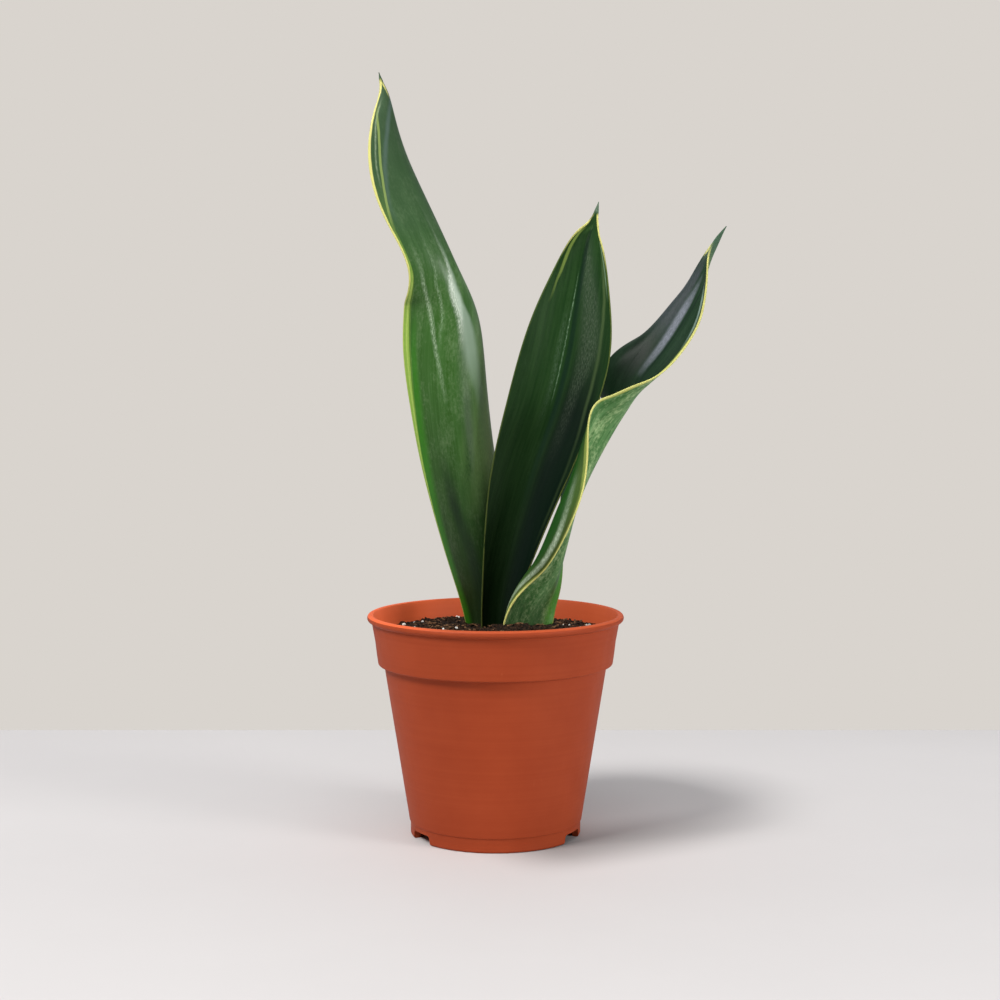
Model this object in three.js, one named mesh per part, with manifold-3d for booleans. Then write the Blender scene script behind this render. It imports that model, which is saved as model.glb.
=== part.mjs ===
// A potted snake plant: three long leaves with narrow yellow margins stand in a bed of
// potting mix in a thin-walled plastic nursery pot. Millimetres, +Z up, the pot's foot on Z = 0.
// The front of the plant looks along -Y. The origin is on the floor below the middle of the
// plant's whole width and depth, so the pot stands a little to one side of it.

import * as THREE from 'three';
import { mergeVertices } from 'three/addons/utils/BufferGeometryUtils.js';
import Module from 'manifold-3d';

const wasm = await Module();
wasm.setup();

// Driving dimensions.
const POT_AXIS = new THREE.Vector2(-23.77, 0);   // pot's axis, seen from the origin
const POT_SIDES = 72;                            // facets round the pot
const RIM_HEIGHT = 104;
const RIM_RADIUS = 60;                           // outside of the bead
const WALL = 1.5;
const COLLAR_TOP_RADIUS = 58;
const COLLAR_FOOT_RADIUS = 55;
const COLLAR_FOOT_HEIGHT = 80.5;
const BODY_TOP_RADIUS = 52.2;
const BODY_FOOT_RADIUS = 40.5;
const BODY_FOOT_HEIGHT = 7;
const FOOT_RADIUS = 40;
const BASE_UNDERSIDE = 5;                        // the base plate is lifted by the foot ring
const NOTCH_ANGLES = [-60, 64, 180];             // degrees from the front, towards +X
const NOTCH_WIDTH = 16;
const NOTCH_HEIGHT = 4.3;
const DRAIN_RADIUS = 3.5;
const DRAIN_CIRCLE = 31;

const GAP = 0.3;                                 // between pieces that touch
const SOIL_CENTRE_HEIGHT = 96.7;
const SOIL_EDGE_HEIGHT = 94.7;
const SOIL_LUMP = 0.9;                           // height of the lumps on the mix
const PERLITE_COUNT = 18;
const PERLITE_REACH = 50;                        // from the pot's axis
const PERLITE_CLEAR = [36, 22];                  // half axes of the space kept for the leaves

const LEAF_FOOT_HEIGHT = 74;
const LEAF_THICKNESS = { foot: 2.8, middle: 2.2, tip: 1.2, margin: 0.9 };
const RINGS_PER_STATION = 3;
const FINE_STEPS = 8;                            // steps of the curl between two points across
const RHIZOME_HEIGHT = 71;
const RHIZOME_LENGTH = 46;
const RHIZOME_RADIUS = 9;
const RHIZOME_KNUCKLES = 5;

// Each station along a leaf is one row. keel is the middle line of the blade, from the pot's
// axis. left and right are the half widths along the curved blade, with the inner face towards
// the eye. facing is the way the inner face looks in plan, in degrees from +X. curl is how far
// each half turns up towards its margin, and the lips are how far the margins roll back out.
const station = (keel, right, left, facing, curl, rightLip = 0, leftLip = 0) =>
  ({ keel, right, left, facing, curl, rightLip, leftLip });

const LEAVES = {
  leaf_left: {
    crease: 0.7,
    lipStart: 0.55,
    across: 16,
    stations: [
      station([-3, 11, LEAF_FOOT_HEIGHT], 10, 10, 84, 50),
      station([-4, 10.5, 104], 14, 13, 90, 55),
      station([-9, 10, 135], 20, 18, 87, 55, 0, -20),
      station([-14, 9, 170], 23.5, 23, 97, 58, 0, -35),
      station([-17.5, 7, 200], 25, 26, 104, 60, 0, -35),
      station([-18, 5, 228], 28, 26.5, 110, 65, 0, -30),
      station([-16, 5, 250], 27.5, 26.5, 132, 72, 0, -10),
      station([-21, 6, 270], 24.5, 25, 163, 72),
      station([-31.5, 7, 293], 25, 22, 165, 68),
      station([-41.5, 8, 315], 21.5, 18, 163, 65),
      station([-47, 9, 333], 14, 12, 174, 75),
      station([-50, 9, 344.5], 5.5, 6, 184, 100),
      station([-52.4, 9, 350], 1.3, 1.7, 180, 80),
      station([-54, 9, 355], 0.6, 0.6, 180, 60),
    ],
  },
  leaf_centre: {
    crease: 0.8,
    lipStart: 0.6,
    across: 14,
    stations: [
      station([1.5, 5, LEAF_FOOT_HEIGHT], 9, 9, -94, 60),
      station([2, 5.5, 104], 10, 10, -96, 60),
      station([8, 7, 135], 15, 15, -100, 55),
      station([17, 8, 168], 20.8, 20.5, -103, 50),
      station([28, 8.5, 200], 22, 24, -100, 45),
      station([35, 9, 230], 22, 23, -96, 45),
      station([40, 9, 256], 16.5, 17, -101, 50),
      station([43, 9, 275], 10, 11, -98, 65),
      station([45.2, 8.7, 283], 4.8, 5.8, -99, 75),
      station([46.6, 8.4, 288.5], 1.4, 1.8, -98, 60),
      station([48, 8, 295.5], 0.6, 0.6, -95, 60),
    ],
  },
  leaf_right: {
    crease: 0.7,
    lipStart: 0.45,
    across: 20,
    stations: [
      station([13, -8, LEAF_FOOT_HEIGHT], 11, 10.4, 95, 50, 40, 30),
      station([17, -8, 104], 15.5, 12, 102, 50, 150, 45),
      station([27, -5, 122], 21, 12.6, 146, 50, 205, 55),
      station([35.5, 0, 148], 27.8, 19, 172, 50, 165, 25),
      station([43, 2, 168], 24, 21, 172, 55, 140),
      station([53.5, 3, 188], 24, 22, 167, 60, 65, 20),
      station([61, 3.5, 200], 22, 22, 188, 60, -10, 40),
      station([67, 4, 212], 20.5, 21.5, 210, 50, -10, 40),
      station([77.5, 4, 227], 18.5, 18.5, 214, 35, 10, 75),
      station([87, 4, 243], 14.5, 13.5, 216, 25, 20, 90),
      station([94.5, 4, 257], 8.5, 7.5, 212, 30, 10, 50),
      station([100, 4, 270], 7, 4, 192, 60, 20),
      station([107, 4, 284], 0.6, 0.6, 180, 60),
    ],
  },
};

const MATERIALS = {
  pot: { color: 0xb0502f, roughness: 0.45, metalness: 0 },
  potting_mix: { color: 0x2b211b, roughness: 0.95, metalness: 0 },
  rhizome: { color: 0xb98a4e, roughness: 0.7, metalness: 0 },
  leaf_left: { color: 0x3f6b3a, roughness: 0.38, metalness: 0 },
  leaf_centre: { color: 0x23401f, roughness: 0.38, metalness: 0 },
  leaf_right: { color: 0x375a35, roughness: 0.38, metalness: 0 },
};

// --- Booleans ---------------------------------------------------------------------------

function toSolid(geometry) {
  const bare = geometry.clone();
  bare.deleteAttribute('normal');
  bare.deleteAttribute('uv');
  const merged = mergeVertices(bare, 1e-4);
  return new wasm.Manifold(new wasm.Mesh({
    numProp: 3,
    vertProperties: new Float32Array(merged.attributes.position.array),
    triVerts: new Uint32Array(merged.index.array),
  }));
}

function toGeometry(solid) {
  const mesh = solid.getMesh();
  const geometry = new THREE.BufferGeometry();
  geometry.setAttribute('position', new THREE.BufferAttribute(mesh.vertProperties, 3));
  geometry.setIndex(new THREE.BufferAttribute(mesh.triVerts, 1));
  geometry.computeVertexNormals();
  return geometry;
}

function cut(geometry, cutters) {
  const solid = cutters.reduce((left, cutter) => left.subtract(toSolid(cutter)), toSolid(geometry));
  return toGeometry(solid);
}

function join(geometry, others) {
  const solid = others.reduce((sum, other) => sum.add(toSolid(other)), toSolid(geometry));
  return toGeometry(solid);
}

// A fixed sequence of numbers from 0 to 1, so that the grains lie in the same places each time.
function makeRandom(seed) {
  let state = seed;
  return () => {
    state = (state * 1664525 + 1013904223) % 4294967296;
    return state / 4294967296;
  };
}

// --- Pot --------------------------------------------------------------------------------

// A lathe turned about Z instead of Y. The profile's points are [radius, height].
function turned(profile, sides) {
  const points = profile.map(([radius, height]) => new THREE.Vector2(radius, height));
  return new THREE.LatheGeometry(points, sides).rotateX(Math.PI / 2);
}

// Points of a quarter or half round, as [radius, height], from one angle to another in degrees.
function round(centre, radius, from, to, steps) {
  return Array.from({ length: steps + 1 }, (_, step) => {
    const angle = THREE.MathUtils.degToRad(from + (to - from) * step / steps);
    return [centre[0] + radius * Math.cos(angle), centre[1] + radius * Math.sin(angle)];
  });
}

// How far the inside of the pot's wall is from its axis at a height.
function insideRadius(height) {
  const outside = height < COLLAR_FOOT_HEIGHT
    ? THREE.MathUtils.mapLinear(height, BODY_FOOT_HEIGHT, COLLAR_FOOT_HEIGHT,
      BODY_FOOT_RADIUS, BODY_TOP_RADIUS)
    : THREE.MathUtils.mapLinear(height, COLLAR_FOOT_HEIGHT, RIM_HEIGHT,
      COLLAR_FOOT_RADIUS, COLLAR_TOP_RADIUS);
  return outside - WALL;
}

function potProfile() {
  const beadRadius = 1.7;
  const beadCentre = [RIM_RADIUS - beadRadius, RIM_HEIGHT - beadRadius];
  const shelf = COLLAR_FOOT_HEIGHT + WALL;
  const floorTop = BASE_UNDERSIDE + WALL;
  return [
    [0, BASE_UNDERSIDE],
    [FOOT_RADIUS - 3.4, BASE_UNDERSIDE],
    [FOOT_RADIUS - 3.2, 0],
    ...round([FOOT_RADIUS - 1.2, 1.2], 1.2, -90, 0, 3),
    [FOOT_RADIUS, BODY_FOOT_HEIGHT - 0.3],
    [BODY_FOOT_RADIUS, BODY_FOOT_HEIGHT],
    [BODY_TOP_RADIUS, COLLAR_FOOT_HEIGHT - 0.5],
    [COLLAR_FOOT_RADIUS - 0.6, COLLAR_FOOT_HEIGHT],
    [COLLAR_FOOT_RADIUS, COLLAR_FOOT_HEIGHT + 0.8],
    [COLLAR_TOP_RADIUS, beadCentre[1] - beadRadius],
    ...round(beadCentre, beadRadius, -60, 120, 6),
    [insideRadius(RIM_HEIGHT - 3), RIM_HEIGHT - 3],
    [insideRadius(shelf), shelf + 0.5],
    [insideRadius(shelf - 4), shelf - 4],
    [insideRadius(floorTop + 2), floorTop + 2],
    [insideRadius(floorTop) - 2, floorTop],
    [0, floorTop],
  ];
}

// One notch through the foot ring, wider at the floor, with the drain hole behind it.
function notchCutters(angle) {
  const half = NOTCH_WIDTH / 2;
  const outline = new THREE.Shape([
    new THREE.Vector2(-half, -1),
    new THREE.Vector2(half, -1),
    new THREE.Vector2(half - 1, NOTCH_HEIGHT - 1),
    new THREE.Vector2(half - 2, NOTCH_HEIGHT),
    new THREE.Vector2(2 - half, NOTCH_HEIGHT),
    new THREE.Vector2(1 - half, NOTCH_HEIGHT - 1),
  ]);
  const turn = THREE.MathUtils.degToRad(angle);
  const slot = new THREE.ExtrudeGeometry(outline, { depth: 12, bevelEnabled: false });
  slot.rotateX(Math.PI / 2).translate(0, 6 - FOOT_RADIUS, 0).rotateZ(turn);
  const drain = new THREE.CylinderGeometry(DRAIN_RADIUS, DRAIN_RADIUS, 4 * WALL, 16);
  drain.rotateX(Math.PI / 2).translate(0, -DRAIN_CIRCLE, BASE_UNDERSIDE).rotateZ(turn);
  return [slot, drain];
}

function makePot() {
  return cut(turned(potProfile(), POT_SIDES), NOTCH_ANGLES.flatMap(notchCutters));
}

// --- Leaves -----------------------------------------------------------------------------

// The values of a leaf at every place along it, 0 at the foot and 1 at the tip, on smooth
// curves through the stations.
function leafCurves(stations) {
  const through = (pick) => new THREE.CatmullRomCurve3(
    stations.map((row) => new THREE.Vector3(...pick(row))), false, 'catmullrom', 0.5);
  const keel = through((row) => row.keel);
  const widths = through((row) => [row.right, row.left, row.facing]);
  const turns = through((row) => [row.curl, row.rightLip, row.leftLip]);
  return { keel, widths, turns };
}

// Distances across and up from the keel, and the slope there, along one half of a section.
function halfSection(width, curl, lip, leaf, steps) {
  const count = steps * FINE_STEPS;
  const points = [{ across: 0, up: 0, slope: 0 }];
  let across = 0;
  let up = 0;
  for (let step = 1; step <= count; step += 1) {
    const place = (step - 0.5) / count;
    const roll = THREE.MathUtils.smoothstep(place, leaf.lipStart, 1);
    const slope = THREE.MathUtils.degToRad(curl * place ** leaf.crease - lip * roll);
    across += Math.cos(slope) * width / count;
    up += Math.sin(slope) * width / count;
    if (step % FINE_STEPS === 0) points.push({ across, up, slope });
  }
  return points;
}

// The blade is thickest at the keel and thins towards its margins and its tip.
function bladeThickness(along, place) {
  const { foot, middle, tip, margin } = LEAF_THICKNESS;
  const keel = along < 0.4
    ? THREE.MathUtils.lerp(foot, middle, along / 0.4)
    : THREE.MathUtils.lerp(middle, tip, (along - 0.4) / 0.6);
  return THREE.MathUtils.lerp(keel, Math.min(margin, keel), Math.abs(place) ** 1.5);
}

// One row of points round a section: over the inner face from margin to margin, and back
// over the outer face.
function sectionRing(leaf, curves, along, swell) {
  const tangent = curves.keel.getTangent(along);
  const keel = curves.keel.getPoint(along).addScaledVector(tangent, along === 0 ? -swell : 0);
  const { x: right, y: left, z: facing } = curves.widths.getPoint(along);
  const { x: curl, y: rightLip, z: leftLip } = curves.turns.getPoint(along);
  const angle = THREE.MathUtils.degToRad(facing);
  const inward = new THREE.Vector3(Math.cos(angle), Math.sin(angle), 0);
  inward.addScaledVector(tangent, -inward.dot(tangent)).normalize();
  const side = new THREE.Vector3().crossVectors(tangent, inward);
  const steps = leaf.across / 2;
  const halves = [
    halfSection(left + swell, curl, leftLip, leaf, steps).slice(1).reverse()
      .map(({ across, up, slope }) => ({ across: -across, up, slope: -slope })),
    halfSection(right + swell, curl, rightLip, leaf, steps),
  ];
  const middle = halves.flat().map(({ across, up, slope }, index) => ({
    point: keel.clone().addScaledVector(side, across).addScaledVector(inward, up),
    normal: inward.clone().multiplyScalar(Math.cos(slope)).addScaledVector(side, -Math.sin(slope)),
    half: bladeThickness(along, index / steps - 1) / 2 + swell,
  }));
  const inner = middle.map(({ point, normal, half }) => point.clone().addScaledVector(normal, half));
  const outer = middle.map(({ point, normal, half }) => point.clone().addScaledVector(normal, -half));
  return [...inner, ...outer.reverse()];
}

// A closed skin over a row of rings, with a flat face at each end.
function skin(rings) {
  const size = rings[0].length;
  const positions = rings.flat().flatMap((point) => point.toArray());
  const index = [];
  for (let row = 0; row < rings.length - 1; row += 1) {
    for (let place = 0; place < size; place += 1) {
      const a = row * size + place;
      const b = row * size + (place + 1) % size;
      index.push(a, b, b + size, a, b + size, a + size);
    }
  }
  const last = (rings.length - 1) * size;
  for (let place = 0; place < size / 2 - 1; place += 1) {
    const near = place;
    const far = size - 1 - place;
    index.push(near, far, near + 1, far, far - 1, near + 1);
    index.push(last + near, last + near + 1, last + far, last + near + 1, last + far - 1, last + far);
  }
  const geometry = new THREE.BufferGeometry();
  geometry.setAttribute('position', new THREE.Float32BufferAttribute(positions, 3));
  geometry.setIndex(index);
  geometry.computeVertexNormals();
  return geometry;
}

function makeLeaf(leaf, { swell = 0, until = 1 } = {}) {
  const curves = leafCurves(leaf.stations);
  const rows = Math.round((leaf.stations.length - 1) * RINGS_PER_STATION * until);
  const rings = Array.from({ length: rows + 1 }, (_, row) =>
    sectionRing(leaf, curves, until * row / rows, swell));
  return skin(rings);
}

// The foot of a leaf, swollen by the gap, as a cutter for what it stands in.
function leafSocket(leaf) {
  return makeLeaf(leaf, { swell: GAP, until: 2 / (leaf.stations.length - 1) });
}

// --- Rhizome and potting mix ------------------------------------------------------------

// The underground stem: a thick knuckled root lying below the three leaves.
function makeRhizome(swell) {
  const half = RHIZOME_LENGTH / 2;
  const steps = 20;
  const profile = Array.from({ length: steps + 1 }, (_, step) => {
    const along = -1 + 2 * step / steps;
    const taper = Math.sqrt(1 - along ** 2);
    const knuckle = 1 + 0.07 * Math.cos(along * RHIZOME_KNUCKLES * Math.PI);
    return [RHIZOME_RADIUS * taper * knuckle + (step % steps ? swell : 0), along * (half + swell)];
  });
  profile[0][0] = 0;
  profile[steps][0] = 0;
  const stem = turned(profile, 20);
  stem.rotateY(Math.PI / 2).rotateZ(THREE.MathUtils.degToRad(-50)).translate(5, 1.5, RHIZOME_HEIGHT);
  return stem;
}

function soilHeight(x, y) {
  const radius = Math.hypot(x, y) / insideRadius(SOIL_EDGE_HEIGHT);
  const dome = THREE.MathUtils.lerp(SOIL_CENTRE_HEIGHT, SOIL_EDGE_HEIGHT, radius ** 2);
  const lumps = Math.sin(x * 0.55 + 1.3) * Math.cos(y * 0.62) + Math.sin((x + y) * 0.31) * 0.8;
  return dome + SOIL_LUMP * 0.5 * lumps;
}

// The bed of mix fills the pot's inside. Its top is raised by a formula.
function soilBody() {
  const floor = BASE_UNDERSIDE + WALL + GAP;
  const shelf = COLLAR_FOOT_HEIGHT + WALL;
  const edge = insideRadius(SOIL_EDGE_HEIGHT) - 2 * GAP;
  const rings = 7;
  const top = Array.from({ length: rings }, (_, ring) => [edge * (1 - ring / rings), SOIL_EDGE_HEIGHT]);
  const profile = [
    [0, floor],
    [insideRadius(floor) - 2 - 2 * GAP, floor],
    [insideRadius(floor + 2) - 2 * GAP, floor + 2.2],
    [insideRadius(shelf - 4) - 2 * GAP, shelf - 4],
    [insideRadius(shelf) - 2 * GAP, shelf + 0.8],
    [edge, SOIL_EDGE_HEIGHT - 2],
    ...top,
    [0, SOIL_EDGE_HEIGHT],
  ];
  const body = turned(profile, 40);
  const place = body.attributes.position;
  for (let index = 0; index < place.count; index += 1) {
    if (place.getZ(index) > SOIL_EDGE_HEIGHT - 0.5) {
      place.setZ(index, soilHeight(place.getX(index), place.getY(index)));
    }
  }
  return body;
}

// Grains of perlite that stand half out of the mix, clear of the leaves.
function perliteGrains() {
  const random = makeRandom(7);
  const grains = [];
  while (grains.length < PERLITE_COUNT) {
    const angle = random() * 2 * Math.PI;
    const radius = PERLITE_REACH * Math.sqrt(random());
    const size = 1 + random();
    const x = radius * Math.cos(angle);
    const y = radius * Math.sin(angle);
    if (Math.hypot(x / PERLITE_CLEAR[0], y / PERLITE_CLEAR[1]) > 1) {
      const grain = new THREE.IcosahedronGeometry(size, 0);
      grain.rotateZ(angle).translate(x, y, soilHeight(x, y) + size * 0.2);
      grains.push(grain);
    }
  }
  return grains;
}

function makePottingMix() {
  const sockets = Object.values(LEAVES).map(leafSocket);
  return cut(join(soilBody(), perliteGrains()), [makeRhizome(GAP), ...sockets]);
}

// --- The plant ----------------------------------------------------------------------------

function piece(name, geometry) {
  const mesh = new THREE.Mesh(geometry, new THREE.MeshStandardMaterial(MATERIALS[name]));
  mesh.name = name;
  return mesh;
}

const plant = new THREE.Group();
plant.add(piece('pot', makePot()));
plant.add(piece('potting_mix', makePottingMix()));
plant.add(piece('rhizome', cut(makeRhizome(0), Object.values(LEAVES).map(leafSocket))));
for (const [name, leaf] of Object.entries(LEAVES)) plant.add(piece(name, makeLeaf(leaf)));
plant.position.set(POT_AXIS.x, POT_AXIS.y, 0);
const potted = new THREE.Group();
potted.add(plant);

export default potted;
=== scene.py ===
"""Looks of a potted snake plant: three long leaves in dark potting mix in a plastic nursery pot.

Metres, +Z up, the front looks along -Y. Sizes that the part's source gives in millimetres about
the pot's axis are repeated here and turned into metres in the part's frame.
"""

import logging
import math
from dataclasses import dataclass
from enum import Enum
from typing import Any, Mapping, Sequence

import bmesh
import bpy
import numpy as np
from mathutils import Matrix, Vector, noise


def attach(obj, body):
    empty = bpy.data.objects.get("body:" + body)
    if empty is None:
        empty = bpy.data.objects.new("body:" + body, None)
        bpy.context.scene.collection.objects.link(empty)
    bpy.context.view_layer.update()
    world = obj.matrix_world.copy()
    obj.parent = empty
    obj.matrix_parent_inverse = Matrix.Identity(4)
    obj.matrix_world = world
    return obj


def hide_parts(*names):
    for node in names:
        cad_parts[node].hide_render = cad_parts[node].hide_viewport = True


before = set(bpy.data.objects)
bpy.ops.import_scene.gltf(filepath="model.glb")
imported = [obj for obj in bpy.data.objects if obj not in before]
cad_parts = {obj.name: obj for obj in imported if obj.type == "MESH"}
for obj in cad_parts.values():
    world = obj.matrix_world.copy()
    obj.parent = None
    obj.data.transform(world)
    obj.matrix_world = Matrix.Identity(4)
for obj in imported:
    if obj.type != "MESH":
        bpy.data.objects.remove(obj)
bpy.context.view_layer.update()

LOG = logging.getLogger("snake_plant")
MM = 0.001
POT_AXIS = (-23.77, 0.0, 0.0)  # millimetres from the origin
Triple = tuple[float, float, float]
Tint = tuple[float, ...]  # a linear colour with its alpha
Stops = Sequence[tuple[float, float]]  # pairs of a place along something and a value


def colour(red: int, green: int, blue: int) -> Tint:
    """Turns a screen colour of 0 to 255 into the linear colour that a shader takes.

    Args:
        red: red part.
        green: green part.
        blue: blue part.

    Returns:
        The linear colour with an alpha of one.
    """
    parts = [value / 255 for value in (red, green, blue)]
    linear = [v / 12.92 if v <= 0.04045 else ((v + 0.055) / 1.055) ** 2.4 for v in parts]
    return (*linear, 1.0)


def level(value: float) -> Stops:
    """Stops of a value that never changes."""
    return ((0.0, value), (1.0, value))


# --- Shader nodes -----------------------------------------------------------------------------


class Shade:
    """A socket in a material's nodes that Python's operators work on."""

    def __init__(self, tree: bpy.types.NodeTree, socket: bpy.types.NodeSocket) -> None:
        """Holds a socket of a tree."""
        self.tree = tree
        self.socket = socket

    def maths(self, operation: str, *values: "Shade | float", clamp: bool = False) -> "Shade":
        """Adds a Math node.

        Args:
            operation: the node's operation.
            values: what goes into its sockets, in order.
            clamp: keeps the result between zero and one.

        Returns:
            The node's result.
        """
        node = self.tree.nodes.new("ShaderNodeMath")
        node.operation = operation
        node.use_clamp = clamp
        for socket, value in zip(node.inputs, values):
            if isinstance(value, Shade):
                self.tree.links.new(value.socket, socket)
            else:
                socket.default_value = float(value)
        return Shade(self.tree, node.outputs[0])

    def __add__(self, other: "Shade | float") -> "Shade":
        """Sum."""
        return self.maths("ADD", self, other)

    def __radd__(self, other: float) -> "Shade":
        """Sum with a number on the left."""
        return self.maths("ADD", other, self)

    def __sub__(self, other: "Shade | float") -> "Shade":
        """Difference."""
        return self.maths("SUBTRACT", self, other)

    def __rsub__(self, other: float) -> "Shade":
        """Difference with a number on the left."""
        return self.maths("SUBTRACT", other, self)

    def __mul__(self, other: "Shade | float") -> "Shade":
        """Product."""
        return self.maths("MULTIPLY", self, other)

    def __rmul__(self, other: float) -> "Shade":
        """Product with a number on the left."""
        return self.maths("MULTIPLY", other, self)

    def size(self) -> "Shade":
        """The value without its sign."""
        return self.maths("ABSOLUTE", self)

    def rises(self, low: "Shade | float", high: "Shade | float") -> "Shade":
        """A soft step.

        Args:
            low: the value at which the step starts.
            high: the value at which it ends; where it is below low, the step falls.

        Returns:
            Zero before the step and one after it.
        """
        place = self.maths("DIVIDE", self - low, high - low, clamp=True)
        return place * place * (3.0 - 2.0 * place)


class Nodes:
    """A material, or the surroundings, that is being made of nodes."""

    def __init__(self, owner: bpy.types.Material | bpy.types.World) -> None:
        """Starts with no nodes in a material or a world."""
        self.owner = owner
        self.owner.use_nodes = True
        self.tree = self.owner.node_tree
        self.tree.nodes.clear()

    @classmethod
    def named(cls, name: str) -> "Nodes":
        """Starts an empty material of this name."""
        return cls(bpy.data.materials.new(name))

    def make(
        self,
        kind: str,
        settings: Mapping[str, Any] | None = None,
        values: Mapping[str | int, Any] | None = None,
        output: str | int = 0,
    ) -> Shade:
        """Adds any node.

        Args:
            kind: the node's type.
            settings: its properties, set first; "stops" fills a ramp with (place, colour) pairs.
            values: numbers, vectors or other sockets for its inputs, by name or place.
            output: which of its outputs is wanted.

        Returns:
            That output.
        """
        node = self.tree.nodes.new(kind)
        for key, value in (settings or {}).items():
            if key == "stops":
                self._fill_ramp(node.color_ramp, value)
            else:
                setattr(node, key, value)
        for key, value in (values or {}).items():
            if isinstance(value, Shade):
                self.tree.links.new(value.socket, node.inputs[key])
            else:
                node.inputs[key].default_value = value
        return Shade(self.tree, node.outputs[output])

    @staticmethod
    def _fill_ramp(ramp: bpy.types.ColorRamp, stops: Sequence[tuple[float, Any]]) -> None:
        """Puts stops of (place, colour) in a ramp that has two."""
        while len(ramp.elements) < len(stops):
            ramp.elements.new(0.5)
        for element, (place, tint) in zip(ramp.elements, stops):
            element.position = place
            element.color = tint

    def profile(self, along: Shade, stops: Stops) -> "Shade | float":
        """A value that changes along something.

        Args:
            along: zero at the start and one at the end.
            stops: pairs of place and value, in order.

        Returns:
            The value, on straight lines between the stops; a number where it never changes.
        """
        values = [value for _, value in stops]
        lowest, span = min(values), max(values) - min(values)
        if span == 0.0:
            return lowest
        shades = [(place, ((value - lowest) / span,) * 3 + (1.0,)) for place, value in stops]
        return self.make("ShaderNodeValToRGB", {"stops": shades}, {"Fac": along}) * span + lowest

    def parts(self, vector: Shade) -> tuple[Shade, Shade, Shade]:
        """The three numbers of a vector."""
        node = self.tree.nodes.new("ShaderNodeSeparateXYZ")
        self.tree.links.new(vector.socket, node.inputs[0])
        x, y, z = (Shade(self.tree, output) for output in node.outputs)
        return x, y, z

    def mix(self, factor: "Shade | float", first: Any, second: Any) -> Shade:
        """Mixes two colours.

        Args:
            factor: zero for the first, one for the second.
            first: a colour or a socket.
            second: a colour or a socket.

        Returns:
            The mixed colour.
        """
        settings = {"data_type": "RGBA"}
        return self.make("ShaderNodeMix", settings, {0: factor, 6: first, 7: second}, 2)

    def tinted(self, base: Shade, amount: "Shade | float") -> Shade:
        """A colour made lighter or darker.

        Args:
            base: the colour.
            amount: one keeps it, less darkens it.

        Returns:
            The colour times the amount.
        """
        settings = {"operation": "SCALE"}
        return self.make("ShaderNodeVectorMath", settings, {0: base, 3: amount})

    def stretched(self, place: Shade, factors: Triple, shift: Triple = (0.0, 0.0, 0.0)) -> Shade:
        """Scales and moves a pattern's coordinates.

        Args:
            place: the coordinates.
            factors: the scale along each of them.
            shift: what is added after that.

        Returns:
            The new coordinates.
        """
        settings = {"operation": "MULTIPLY_ADD"}
        return self.make("ShaderNodeVectorMath", settings, {0: place, 1: factors, 2: shift})

    def speckle(self, place: Shade, scale: float, detail: float, rough: float) -> Shade:
        """Noise of about zero to one.

        Args:
            place: the coordinates.
            scale: how fine it is.
            detail: how many finer layers it has.
            rough: how strong those are.

        Returns:
            The noise.
        """
        values = {"Vector": place, "Scale": scale, "Detail": detail, "Roughness": rough}
        return self.make("ShaderNodeTexNoise", {"noise_dimensions": "3D"}, values)

    def bump(self, height: Shade, distance: float, strength: float, under: Shade | None = None) -> Shade:
        """A Bump node.

        Args:
            height: zero to one.
            distance: what one stands for, in metres.
            strength: how much of it shows.
            under: the bent normal that it goes over, where there is one.

        Returns:
            The bent normal.
        """
        values: dict[str | int, Any] = {"Height": height, "Distance": distance, "Strength": strength}
        if under is not None:
            values["Normal"] = under
        return self.make("ShaderNodeBump", {}, values)

    def principled(self, **values: Any) -> Shade:
        """A Principled shader.

        Args:
            values: its inputs, with underscores for the spaces in their names.

        Returns:
            The shader.
        """
        inputs = {name.replace("_", " "): value for name, value in values.items()}
        return self.make("ShaderNodeBsdfPrincipled", {}, inputs)

    def finish_principled(self, **values: Any) -> bpy.types.Material:
        """Ends the material in one Principled shader with these inputs."""
        return self.finish(self.principled(**values))

    def finish(self, shader: Shade, kind: str = "ShaderNodeOutputMaterial") -> Any:
        """Ends the tree in a shader and returns the material or world that it belongs to."""
        end = self.tree.nodes.new(kind)
        self.tree.links.new(shader.socket, end.inputs["Surface"])
        return self.owner


# --- Meshes -----------------------------------------------------------------------------------


def in_frame(points: np.ndarray) -> np.ndarray:
    """Millimetres about the pot's axis to metres in the part's frame."""
    return (points + np.array(POT_AXIS)) * MM


def make_object(name: str, data: bpy.types.ID) -> bpy.types.Object:
    """Puts a mesh, a light or a camera in the scene at the origin, as an object of that name."""
    thing = bpy.data.objects.new(name, data)
    bpy.context.scene.collection.objects.link(thing)
    return thing


def grid_mesh(name: str, rings: np.ndarray, capped: bool) -> bpy.types.Mesh:
    """A closed skin of quads over rows of points.

    Args:
        name: the mesh's name.
        rings: points in metres, as (row, place round the row, xyz).
        capped: closes each end with a fan about its middle.

    Returns:
        The mesh, smooth all over.
    """
    rows, size = rings.shape[:2]
    points = list(rings.reshape(-1, 3))
    row, place = np.meshgrid(np.arange(rows - 1), np.arange(size), indexing="ij")
    after = (place + 1) % size
    corners = [row * size + place, row * size + after, (row + 1) * size + after, (row + 1) * size + place]
    faces = np.stack(corners, axis=-1).reshape(-1, 4).tolist()
    if capped:
        for start, ring in ((0, rings[0]), ((rows - 1) * size, rings[-1])):
            middle = len(points)
            points.append(ring.mean(axis=0))
            for index in range(size):
                pair = [start + index, start + (index + 1) % size]
                faces.append([*(pair if start else pair[::-1]), middle])
    mesh = bpy.data.meshes.new(name)
    mesh.from_pydata([tuple(point) for point in points], [], faces)
    mesh.polygons.foreach_set("use_smooth", np.ones(len(mesh.polygons), dtype=bool))
    mesh.update()
    return mesh


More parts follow.
